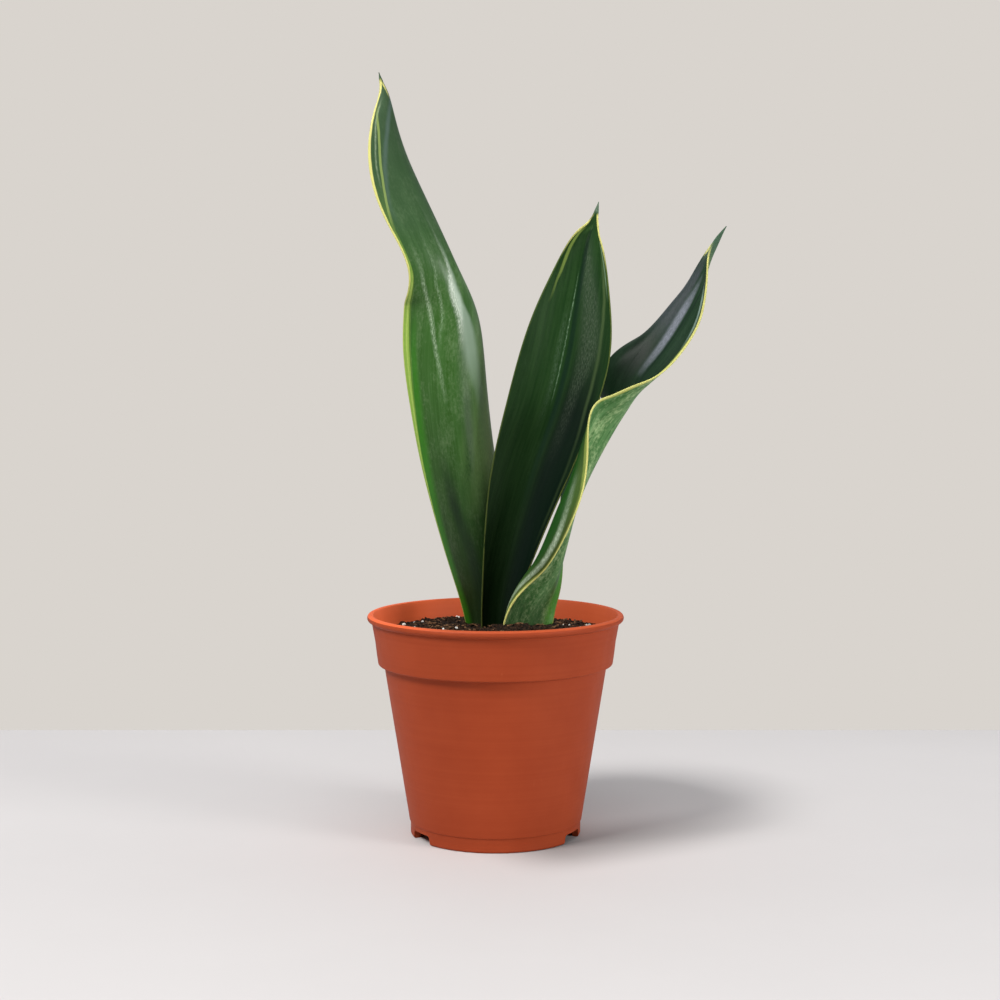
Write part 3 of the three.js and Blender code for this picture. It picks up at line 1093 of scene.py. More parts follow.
class StrewTree:
    """Geometry nodes that strew grains over a surface and end in plain, dressed mesh.

    The tree's inputs carry the names of the strewing's fields.
    """

    INPUTS = {
        "Density": "Float",
        "Smallest": "Float",
        "Largest": "Float",
        "Roughen": "Float",
        "Lift": "Float",
        "Tilt": "Float",
        "Seed": "Int",
    }
    GRIT_SCALE = 900.0
    HARD_EDGE = 40.0

    def __init__(self, strewing: Strewing) -> None:
        """Builds the tree for one kind of grain."""
        self.strewing = strewing
        self.tree = bpy.data.node_groups.new(strewing.grain.value, "GeometryNodeTree")
        interface = self.tree.interface
        interface.new_socket(name="Geometry", in_out="INPUT", socket_type="NodeSocketGeometry")
        self.sockets = {
            name: interface.new_socket(name=name, in_out="INPUT", socket_type=f"NodeSocket{kind}")
            for name, kind in self.INPUTS.items()
        }
        interface.new_socket(name="Geometry", in_out="OUTPUT", socket_type="NodeSocketGeometry")
        self.wire()

    def node(self, kind: str, settings: Mapping[str, Any], values: Mapping[str | int, Any]) -> Any:
        """Adds a node.

        Args:
            kind: its type.
            settings: its properties.
            values: what its sockets hold: values, or other nodes' outputs.

        Returns:
            The node.
        """
        made = self.tree.nodes.new(kind)
        for key, value in settings.items():
            setattr(made, key, value)
        for key, value in values.items():
            if isinstance(value, bpy.types.NodeSocket):
                self.tree.links.new(value, made.inputs[key])
            else:
                made.inputs[key].default_value = value
        return made

    def vector(self, operation: str, first: Any, second: Any) -> bpy.types.NodeSocket:
        """Works on vectors.

        Args:
            operation: SCALE, or what is done with two vectors.
            first: a vector or a socket.
            second: a vector or a socket; a number or its socket where the vector is scaled.

        Returns:
            The socket of the result.
        """
        place = 3 if operation == "SCALE" else 1
        made = self.node("ShaderNodeVectorMath", {"operation": operation}, {0: first, place: second})
        return made.outputs[0]

    def wire(self) -> None:
        """Joins the nodes: points on the surface, grains on the points, rough skins, material."""
        given = self.node("NodeGroupInput", {}, {}).outputs
        points = self.node(
            "GeometryNodeDistributePointsOnFaces",
            {"distribute_method": "RANDOM"},
            {"Mesh": given["Geometry"], "Density": given["Density"], "Seed": given["Seed"]},
        ).outputs
        rings, shape = self.strewing.rings, self.strewing.shape
        ball = self.node("GeometryNodeMeshIcoSphere", {}, {"Radius": 0.5, "Subdivisions": rings})
        shaped = self.node("GeometryNodeTransform", {}, {0: ball.outputs[0], "Scale": shape})
        size = self.node(
            "FunctionNodeRandomValue",
            {"data_type": "FLOAT"},
            {2: given["Smallest"], 3: given["Largest"], "Seed": given["Seed"]},
        )
        tilt = self.node("ShaderNodeCombineXYZ", {}, {0: given["Tilt"], 1: given["Tilt"], 2: math.pi})
        back = self.vector("SCALE", tilt.outputs[0], -1.0)
        turn = self.node(
            "FunctionNodeRandomValue",
            {"data_type": "FLOAT_VECTOR"},
            {0: back, 1: tilt.outputs[0], "Seed": given["Seed"]},
        )
        strewn = self.node(
            "GeometryNodeInstanceOnPoints",
            {},
            {
                "Points": points["Points"],
                "Instance": shaped.outputs[0],
                "Rotation": turn.outputs[0],
                "Scale": size.outputs[1],
            },
        )
        plain = self.node("GeometryNodeRealizeInstances", {}, {0: strewn.outputs[0]})
        place = self.node("GeometryNodeInputPosition", {}, {})
        rough = self.node(
            "ShaderNodeTexNoise",
            {"noise_dimensions": "3D"},
            {"Vector": place.outputs[0], "Scale": self.GRIT_SCALE, "Detail": 2.0},
        )
        centred = self.vector("SUBTRACT", rough.outputs["Color"], (0.5, 0.5, 0.5))
        push = self.vector("SCALE", centred, given["Roughen"])
        lift = self.node("ShaderNodeCombineXYZ", {}, {2: given["Lift"]})
        offset = self.vector("ADD", push, lift.outputs[0])
        bent = self.node("GeometryNodeSetPosition", {}, {0: plain.outputs[0], "Offset": offset})
        material = self.strewing.finish.material()
        dressed = self.node("GeometryNodeSetMaterial", {}, {0: bent.outputs[0], "Material": material})
        self.node("NodeGroupOutput", {}, {0: dressed.outputs[0]})

    def strew(self, surface: bpy.types.Mesh) -> bpy.types.Object:
        """Runs the tree on a surface.

        Args:
            surface: the mesh that carries the grains.

        Returns:
            The grains as a plain mesh.
        """
        thing = make_object(self.strewing.grain.value, surface.copy())
        change = thing.modifiers.new("strew", "NODES")
        change.node_group = self.tree
        for name, socket in self.sockets.items():
            change[socket.identifier] = getattr(self.strewing, name.lower())
        flatten(thing)
        sharpen(thing.data, self.HARD_EDGE)
        return thing


PEAT = MixFinish("potting_mix_peat", colour(16, 11, 7), colour(62, 42, 28), 700.0, height=0.0006)
BARK = MixFinish("potting_mix_bark", colour(46, 31, 19), colour(148, 110, 78), 900.0, height=0.0003)
WHITE = MixFinish("potting_mix_perlite", colour(205, 200, 192), colour(244, 242, 238), 900.0, height=0.0003)


@dataclass
class PottingMix:
    """The bed of mix, in millimetres, with what lies loose on top of it.

    The heap lies along a line on the bed, between its start and its end.
    """

    pot: Pot
    gap: float = 0.3
    centre_height: float = 96.7
    edge_height: float = 94.7
    lump: float = 0.9
    heap: float = 3.4
    heap_reach: float = 6.0
    heap_start: tuple[float, float] = (2.0, -11.5)
    heap_end: tuple[float, float] = (27.0, -5.5)
    sides: int = 200
    rings: int = 70

    def heaped(self, x: float, y: float) -> float:
        """How far the mix is heaped up, in front of the right leaf's foot."""
        start = Vector(self.heap_start)
        run = Vector(self.heap_end) - start
        place = Vector((x, y)) - start
        nearest = run * min(max(place.dot(run) / run.length_squared, 0.0), 1.0)
        return self.heap * math.exp(-(((place - nearest).length / self.heap_reach) ** 2))

    def height(self, x: float, y: float) -> float:
        """Height of the top, as the part's source has it, with finer lumps."""
        share = math.hypot(x, y) / self.pot.inside_radius(self.edge_height)
        dome = self.centre_height + (self.edge_height - self.centre_height) * share**2
        lumps = math.sin(x * 0.55 + 1.3) * math.cos(y * 0.62) + math.sin((x + y) * 0.31) * 0.8
        fine = noise.fractal(Vector((x * 0.35, y * 0.35, 3.0)), 0.8, 2.1, 4)
        return dome + self.heaped(x, y) + self.lump * 0.5 * lumps + 0.9 * fine

    def top_points(self) -> np.ndarray:
        """Points of the top, as rings from the wall to the middle."""
        edge = self.pot.inside_radius(self.edge_height) - 2 * self.gap
        radii = edge * (1 - np.arange(self.rings) / self.rings)
        points = turned([(radius, 0.0) for radius in radii], self.sides)
        for row in points:
            for point in row:
                point[2] = self.height(point[0], point[1])
        return points

    def bed(self) -> bpy.types.Object:
        """The whole bed, from the pot's floor to its rough top."""
        floor = self.pot.base_underside + self.pot.wall + self.gap
        shelf = self.pot.collar_foot_height + self.pot.wall
        inside = self.pot.inside_radius
        under = [
            (inside(floor) - 2 - 2 * self.gap, floor),
            (inside(floor + 2) - 2 * self.gap, floor + 2.2),
            (inside(shelf - 4) - 2 * self.gap, shelf - 4),
            (inside(shelf) - 2 * self.gap, shelf + 0.8),
            (inside(self.edge_height) - 2 * self.gap, self.edge_height - 2),
        ]
        skin = np.concatenate([turned(under, self.sides), self.top_points()])
        mesh = grid_mesh("potting_bed", in_frame(skin), capped=True)
        outwards(mesh)
        mesh.materials.append(PEAT.material())
        return make_object("potting_bed", mesh)

    def carrier(self) -> bpy.types.Mesh:
        """The part of the top that carries loose grains, clear of the wall."""
        return grid_mesh("carrier", in_frame(self.top_points()[2:])[::-1], capped=False)

    def dress(self) -> list[bpy.types.Object]:
        """Builds the bed and everything strewn on it, in its node's place."""
        strewings = (
            Strewing(Grain.CRUMB, PEAT, 230000.0, 0.0007, 0.0026, (1, 0.7, 0.5), 0.0011, 11, -0.0002),
            Strewing(Grain.FIBRE, BARK, 42000.0, 0.0022, 0.0064, (1, 0.2, 0.12), 0.0013, 5, 0.0002, 0.35),
            Strewing(
                Grain.PERLITE, WHITE, 4200.0, 0.0008, 0.0021, (1, 0.9, 0.8), 0.0008, 23, 0.0003, rings=3
            ),
        )
        carrier = self.carrier()
        things = [self.bed()] + [StrewTree(strewing).strew(carrier) for strewing in strewings]
        for thing in things:
            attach(thing, "root")
            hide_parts("potting_mix")
        return things


# --- Rhizome ----------------------------------------------------------------------------------


@dataclass(frozen=True)
class RootFinish:
    """Pale knuckled root with darker rings, for the rhizome's own node."""

    pale: Tint = colour(196, 152, 94)
    dark: Tint = colour(128, 86, 48)

    def dress(self) -> bpy.types.Object:
        """Gives the rhizome's node its material."""
        nodes = Nodes.named("rhizome_skin")
        place = nodes.make("ShaderNodeTexCoord", output="Object")
        rings = nodes.speckle(nodes.stretched(place, (260.0, 60.0, 60.0)), 1.0, 4.0, 0.6)
        pores = nodes.speckle(place, 700.0, 5.0, 0.6)
        tone = nodes.mix((rings * 0.7 + pores * 0.3).rises(0.35, 0.65), self.dark, self.pale)
        relief = nodes.bump(rings * 0.6 + pores * 0.4, 0.0005, 0.7)
        material = nodes.finish_principled(Base_Color=tone, Roughness=0.6 + pores * 0.3, Normal=relief)
        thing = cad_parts["rhizome"]
        thing.data.materials.clear()
        thing.data.materials.append(material)
        return thing


# --- Studio -----------------------------------------------------------------------------------


@dataclass(frozen=True)
class Softbox:
    """An area light: where it is, the point it looks at, width and height, watts and colour."""

    name: str
    place: Triple
    aim: Triple
    size: tuple[float, float]
    power: float
    tint: Triple

    def build(self) -> None:
        """Makes the light."""
        data = bpy.data.lights.new(self.name, "AREA")
        data.shape = "RECTANGLE"
        data.size, data.size_y = self.size
        data.energy = self.power
        data.color = self.tint
        thing = make_object(self.name, data)
        thing.location = self.place
        thing.rotation_euler = (Vector(self.aim) - Vector(self.place)).to_track_quat("-Z", "Y").to_euler()


@dataclass
class Studio:
    """Pale floor, pale backdrop colour, soft lights and the camera, in metres.

    The painted shadow is a soft dark patch painted on the floor, where the plant's shadow starts.
    """

    camera_place: Triple = (-0.02167, -0.8423, 0.2201)
    camera_dip: float = 0.0747
    lens: float = 65.2
    painted_shadow_start: tuple[float, float] = (0.006, -0.031)
    painted_shadow_turn: float = 0.5
    painted_shadow_size: tuple[float, float] = (0.15, 0.042)
    painted_shadow_depth: float = 0.52
    floor_reach: float = 3.0
    floor_back: float = 0.2378
    floor_tones: tuple[Tint, Tint] = (colour(202, 199, 199), colour(207, 204, 204))
    floor_far: Tint = colour(226, 223, 222)
    floor_unseen: Tint = colour(40, 40, 40)
    wall: Tint = colour(217, 212, 206)
    lights: Sequence[Softbox] = (
        Softbox("key", (-0.85, -0.74, 1.28), (0.0, 0.0, 0.08), (0.5, 0.5), 24.0, (1.0, 0.985, 0.96)),
        Softbox("right", (1.0, -0.62, 0.36), (0.0, 0.0, 0.24), (0.4, 0.42), 9.0, (1.0, 0.99, 0.97)),
        Softbox("overhead", (0.1, -0.7, 1.5), (0.0, 0.0, 0.15), (1.0, 1.0), 6.0, (1.0, 1.0, 1.0)),
    )

    def camera(self) -> None:
        """Makes the camera."""
        data = bpy.data.cameras.new("camera")
        data.lens = self.lens
        data.sensor_width = 36.0
        data.clip_start = 0.01
        thing = make_object("camera", data)
        thing.location = self.camera_place
        thing.rotation_euler = (math.pi / 2 - self.camera_dip, 0.0, 0.0)
        bpy.context.scene.camera = thing

    def world(self) -> None:
        """Makes the surroundings: what the camera sees, and a softer light for everything else."""
        nodes = Nodes(bpy.data.worlds.new("studio"))
        way = nodes.make("ShaderNodeTexCoord", output="Generated")
        across, back, up = nodes.parts(way)
        glow = 0.03 + 0.45 * back.rises(-0.1, 0.8) + 0.2 * up.rises(0.3, 0.95)
        card = across.rises(-0.25, -0.45) * back.rises(0.0, -0.25)
        card = card * up.rises(0.3, 0.15) * up.rises(-0.35, -0.2)
        glow = glow + 1.2 * card
        lit = nodes.make("ShaderNodeBackground", {}, {"Color": (0.94, 0.96, 1.0, 1.0), "Strength": glow})
        seen = nodes.make("ShaderNodeBackground", {}, {"Color": self.wall})
        ray = nodes.make("ShaderNodeLightPath", output="Is Camera Ray")
        both = nodes.make("ShaderNodeMixShader", {}, {0: ray, 1: lit, 2: seen})
        bpy.context.scene.world = nodes.finish(both, "ShaderNodeOutputWorld")

    def painted_shadow(self, nodes: Nodes, place: Shade) -> Shade:
        """How strong the painted shadow is beside the pot's foot, where its shadow starts."""
        x, y, _ = nodes.parts(place)
        x, y = x - self.painted_shadow_start[0], y - self.painted_shadow_start[1]
        cosine, sine = math.cos(self.painted_shadow_turn), math.sin(self.painted_shadow_turn)
        along, aside = x * cosine + y * sine, y * cosine - x * sine
        length, width = self.painted_shadow_size
        return along.rises(-width, 0.0) * along.rises(length, 0.0) * aside.size().rises(width, 0.0)

    def floor(self) -> bpy.types.Object:
        """The pale floor, which ends behind the plant where the backdrop starts.

        The camera sees it pale far out, whatever the light there. To everything else it is dark
        far out in front.
        """
        nodes = Nodes.named("studio_floor")
        place = nodes.make("ShaderNodeTexCoord", output="Object")
        clouds = nodes.speckle(place, 9.0, 4.0, 0.6)
        tone = nodes.mix(clouds, *self.floor_tones)
        _, back, _ = nodes.parts(place)
        # painted light: the floor is lighter towards the back
        tone = nodes.tinted(tone, 1.0 + 0.14 * back.rises(-0.1, 0.2))
        # painted shadow beside the pot's foot
        tone = nodes.tinted(tone, 1.0 - self.painted_shadow_depth * self.painted_shadow(nodes, place))
        pale = nodes.principled(Base_Color=tone, Roughness=0.75)
        ray = nodes.make("ShaderNodeLightPath", output="Is Camera Ray")
        dark = nodes.principled(Base_Color=self.floor_unseen, Roughness=0.9)
        far = back.rises(-0.45, -0.85) * (1.0 - ray)
        lit = nodes.make("ShaderNodeMixShader", {}, {0: far, 1: pale, 2: dark})
        distant = nodes.make("ShaderNodeEmission", {}, {"Color": self.floor_far})
        away = nodes.make("ShaderNodeVectorMath", {"operation": "LENGTH"}, {0: place}, output="Value")
        seen = {0: away.rises(0.4, 1.1) * ray, 1: lit, 2: distant}
        material = nodes.finish(nodes.make("ShaderNodeMixShader", {}, seen))
        reach, back = self.floor_reach, self.floor_back
        corners = [(-reach, -reach, 0.0), (reach, -reach, 0.0), (reach, back, 0.0), (-reach, back, 0.0)]
        mesh = bpy.data.meshes.new("floor")
        mesh.from_pydata(corners, [], [(0, 1, 2, 3)])
        mesh.materials.append(material)
        thing = make_object("floor", mesh)
        return thing

    @staticmethod
    def shade_key(things: Sequence[bpy.types.Object]) -> None:
        """Lets only these objects block the key light, which is too soft for a leaf's shadow.

        Args:
            things: what throws the key light's shadow.
        """
        blockers = bpy.data.collections.new("key_blockers")
        for thing in things:
            blockers.objects.link(thing)
        bpy.data.objects["key"].light_linking.blocker_collection = blockers

    def build(self) -> None:
        """Makes all of it."""
        view = bpy.context.scene.view_settings
        view.view_transform = "Standard"
        view.look = "None"
        self.camera()
        self.world()
        self.floor()
        for light in self.lights:
            light.build()


# --- The plant --------------------------------------------------------------------------------

YELLOW = colour(214, 210, 126)
OLIVE = colour(120, 128, 62)


def edge(measure: Measure, reach: Stops, strength: Stops, **more: Any) -> Stripe:
    """A band that starts at a margin.

    Args:
        measure: which margin.
        reach: how far it comes in from the margin, in millimetres.
        strength: how strong it is.
        more: anything else of the stripe.

    Returns:
        The band.
    """
    width = [(place, 2.0 * value) for place, value in reach]
    return Stripe(measure, level(0.0), width, strength, **more)


GREY_GREEN = LeafFinish(
    "leaf_grey_green",
    outer=FaceFinish(
        colour(46, 87, 28), colour(67, 106, 52), colour(122, 148, 106), mottle=0.5,
        # light: painted shade, darker at the foot and towards the tip
        light=(
            (0, 0.12), (0.1, 0.2), (0.16, 0.36), (0.24, 0.66), (0.34, 0.92), (0.5, 1.03), (0.65, 0.83),
            (1, 0.72),
        ),
    ),
    inner=FaceFinish(colour(24, 54, 26), colour(44, 78, 40), colour(70, 98, 66)),
    stripes=(
        Stripe(  # painted light on the far shoulder
            Measure.LEFT, ((0.26, 6), (0.32, 0)), ((0, 48), (1, 44)),
            ((0.18, 0), (0.24, 0.95), (0.3, 0.75), (0.38, 0.75), (0.45, 0)),
            tint=colour(136, 172, 106), soft=0.8, broken=0.2, face=Face.OUTER,
        ),
        Stripe(  # painted shade on the foot of the far half
            Measure.KEEL, level(-14), level(30), ((0.12, 0.85), (0.2, 0.7), (0.25, 0.3), (0.3, 0)),
            tint=colour(12, 28, 12), soft=0.8, face=Face.OUTER,
        ),
        Stripe(  # painted shade: a dark streak low down
            Measure.KEEL, ((0, 1), (0.1, 1.5), (0.15, 3), (0.2, 7.5), (0.25, 10)), level(9),
            ((0.06, 0), (0.12, 0.8), (0.2, 0.85), (0.26, 0)),
            tint=colour(16, 34, 18), soft=0.9, broken=0.2, wobble=2, face=Face.OUTER,
        ),
        Stripe(  # shadow of the fold
            Measure.KEEL,
            ((0.12, 8), (0.161, 5), (0.191, 1.9), (0.211, 0.6), (0.232, -1.3), (0.254, -2.5),
             (0.278, -3.7), (0.303, -4.8), (0.33, -5.8), (0.37, -6.6)),
            level(9),
            ((0.12, 0), (0.161, 0.25), (0.191, 0.4), (0.211, 0.7), (0.232, 0.95), (0.254, 0.9),
             (0.278, 0.8), (0.303, 0.6), (0.325, 0.35), (0.34, 0)),
            tint=colour(30, 60, 20), soft=0.9, broken=0.25, wobble=1, face=Face.OUTER,
        ),
        Stripe(  # light beyond it
            Measure.LEFT, level(9), level(13), ((0.2, 0), (0.24, 0.75), (0.29, 0.5), (0.34, 0)),
            tint=colour(142, 164, 112), soft=1, broken=0.2, face=Face.OUTER,
        ),
        Stripe(  # greyer towards the tip
            Measure.KEEL, level(0), level(80), ((0.5, 0), (0.6, 0.5), (0.75, 0.68), (1, 0.72)),
            tint=colour(56, 76, 58), face=Face.OUTER,
        ),
        Stripe(  # painted sheen, a reflection beside the folded margin
            Measure.RIGHT, ((0.634, 4), (0.671, 6.6), (0.709, 8), (0.748, 8.6), (0.809, 7.4), (0.88, 5)),
            level(4), ((0.6, 0), (0.66, 0.4), (0.75, 0.65), (0.84, 0.55), (0.9, 0)),
            tint=colour(84, 104, 98), soft=1, face=Face.OUTER,
        ),
        Stripe(  # saturated strip beside the pale band
            Measure.RIGHT,
            ((0, 1.4), (0.15, 1.8), (0.193, 2.4), (0.236, 3.2), (0.283, 4.2), (0.34, 6), (0.384, 7),
             (0.43, 6.6)),
            ((0, 8), (0.15, 10), (0.236, 11), (0.283, 10), (0.34, 7), (0.384, 5), (0.43, 3)),
            ((0, 0.6), (0.15, 0.8), (0.25, 0.95), (0.36, 0.9), (0.4, 0.5), (0.44, 0)),
            tint=colour(46, 112, 16), soft=0.9, broken=0.25, wobble=1.2, face=Face.OUTER,
        ),
        edge(  # pale band along the near margin
            Measure.RIGHT,
            ((0, 0.6), (0.15, 0.9), (0.193, 1.3), (0.236, 2.1), (0.283, 2.9), (0.319, 4.1), (0.342, 4.8),
             (0.366, 5.5), (0.389, 5.4), (0.418, 4.8), (0.469, 3.9), (0.51, 2.5), (0.56, 1.4),
             (0.6, 1.8), (0.632, 2.8), (0.674, 4.6), (0.72, 5), (1, 2)),
            ((0, 0.5), (0.2, 0.8), (0.35, 0.95), (0.5, 0.95), (0.56, 0.65), (0.6, 0.25), (0.64, 0.1),
             (0.67, 0)),
            tint=colour(138, 172, 70), soft=0.3, broken=0.2, wobble=0.4, face=Face.OUTER,
        ),
        Stripe(  # brighter line in the band
            Measure.RIGHT, ((0, 0.4), (0.236, 1), (0.3, 1.9), (0.366, 2.7), (0.42, 2.4), (0.5, 1.4)),
            ((0, 0.8), (0.25, 1.2), (0.45, 1.8), (1, 1.6)), ((0.15, 0), (0.25, 0.5), (0.5, 0.7), (0.54, 0)),
            tint=colour(176, 198, 104), soft=0.8, broken=0.3, wobble=0.5, face=Face.OUTER,
        ),
        Stripe(  # dark line in the band
            Measure.RIGHT,
            ((0, 1), (0.283, 2.3), (0.319, 3.3), (0.342, 3.9), (0.366, 4.5), (0.389, 4.4), (0.418, 3.9),
             (0.469, 3), (0.51, 2)),
            level(0.7), ((0.28, 0), (0.33, 0.7), (0.5, 0.8), (0.54, 0)),
            tint=colour(60, 96, 36), wobble=0.5, face=Face.OUTER,
        ),
        Stripe(  # painted highlight between the yellow edge and the inset line
            Measure.RIGHT, ((0.72, 3.2), (0.745, 2.6), (0.77, 1.8)), level(1.3),
            ((0.66, 0), (0.69, 0.4), (0.74, 0.5), (0.8, 0.45), (0.84, 0)),
            tint=colour(168, 186, 154), soft=0.9, broken=0.5, face=Face.OUTER,
        ),
        Stripe(  # inset line
            Measure.RIGHT,
            ((0, 1), (0.609, 1.6), (0.632, 2.8), (0.652, 4), (0.674, 5), (0.703, 5.3), (0.72, 5.1),
             (0.745, 4.2), (0.77, 2.6), (0.79, 1.4)),
            ((0.76, 1.5), (0.8, 1)),
            ((0.6, 0), (0.63, 0.5), (0.7, 0.6), (0.76, 0.6), (0.8, 0.3), (0.82, 0)),
            tint=colour(150, 170, 92), wobble=0.4, face=Face.OUTER,
        ),
        Stripe(  # painted highlight down the right shoulder
            Measure.KEEL,
            ((0.276, -12), (0.3, -12.5), (0.327, -12), (0.353, -9.5), (0.381, -7.4), (0.413, -4.5),
             (0.432, -2.2), (0.456, 2.1), (0.48, 4.3), (0.508, 4.6), (0.53, 5.3)),
            ((0, 6), (0.276, 8), (0.3, 8), (0.353, 12), (0.381, 14), (0.432, 10), (0.456, 7),
             (0.48, 6.5), (0.508, 4.5), (0.53, 3)),
            ((0.24, 0), (0.3, 0.15), (0.34, 0.5), (0.38, 0.85), (0.45, 1), (0.5, 0.85), (0.54, 0.4),
             (0.57, 0)),
            tint=colour(138, 160, 138), soft=0.75, wobble=2, face=Face.OUTER,
        ),
        Stripe(  # painted sparkle along the top of the painted highlight
            Measure.KEEL,
            ((0, 0), (0.39, -1.6), (0.413, -0.4), (0.432, 1), (0.456, 3.6), (0.48, 5.4), (0.508, 5.4),
             (0.53, 5.6), (0.56, 6.4)),
            ((0, 3), (0.456, 5), (0.5, 4), (0.56, 2.4)),
            ((0.38, 0), (0.42, 0.6), (0.45, 0.95), (0.51, 0.95), (0.54, 0.4), (0.58, 0.12), (0.62, 0)),
            tint=colour(196, 208, 190), soft=1, broken=0.8, wobble=1.4, face=Face.OUTER,
        ),
        Stripe(  # painted highlight down the middle, broken
            Measure.RIGHT,
            ((0.343, 19.8), (0.367, 19), (0.392, 17.4), (0.427, 14.8), (0.465, 10.9), (0.508, 6.7),
             (0.544, 5.3), (0.6, 5)),
            level(3.2), ((0.31, 0), (0.345, 0.3), (0.42, 0.65), (0.5, 0.55), (0.54, 0.2), (0.58, 0)),
            tint=colour(178, 198, 168), soft=1, broken=0.8, wobble=1.6, face=Face.OUTER,
        ),
        Stripe(  # faint broken painted highlight beside it
            Measure.RIGHT, ((0, 21), (0.429, 20.1), (0.463, 16.9), (0.501, 13), (0.56, 11)), level(2.4),
            ((0.38, 0), (0.43, 0.4), (0.5, 0.4), (0.55, 0.15), (0.6, 0)),
            tint=colour(168, 190, 158), soft=1, broken=0.9, wobble=2, face=Face.OUTER,
        ),
        edge(
            Measure.RIGHT,
            ((0, 0.3), (0.3, 0.4), (0.5, 0.6), (0.6, 0.7), (0.65, 0.8), (0.7, 1.3), (0.77, 0.8),
             (0.85, 0.6)),
            ((0, 0.2), (0.3, 0.3), (0.45, 0.5), (0.55, 0.9), (0.93, 1), (0.96, 0)),
            tint=YELLOW, wobble=0.4,
        ),
        edge(
            Measure.LEFT, ((0.2, 0.4), (1, 0.7)),
            ((0, 0.2), (0.15, 0.3), (0.3, 0.7), (0.5, 0.8), (0.93, 1), (0.96, 0)),
            tint=YELLOW,
        ),
        Stripe(  # pale line on the fold below the tip
            Measure.KEEL, ((0, 1.3), (0.845, 1.2), (0.93, 0.5)), level(0.9),
            ((0.83, 0), (0.86, 0.6), (0.91, 0.85), (0.935, 0)),
            tint=YELLOW, wobble=0.2, face=Face.OUTER,
        ),
    ),
    glosses=(
        Stripe(  # the right shoulder shines
            Measure.KEEL,
            ((0.27, -8), (0.33, -10), (0.37, -9.5), (0.414, -6.6), (0.43, -3.3), (0.46, 1.8), (0.5, 3.7),
             (0.53, 6)),
            ((0.45, 16), (0.58, 6), (0.62, 3)),
            ((0.31, 0), (0.36, 0.3), (0.42, 0.5), (0.55, 0.5), (0.6, 0.3), (0.66, 0)), soft=0.6, wobble=4,
            face=Face.OUTER,
        ),
    ),
    coat=0.06,
    coat_roughness=0.34,
    gloss=0.15,
)

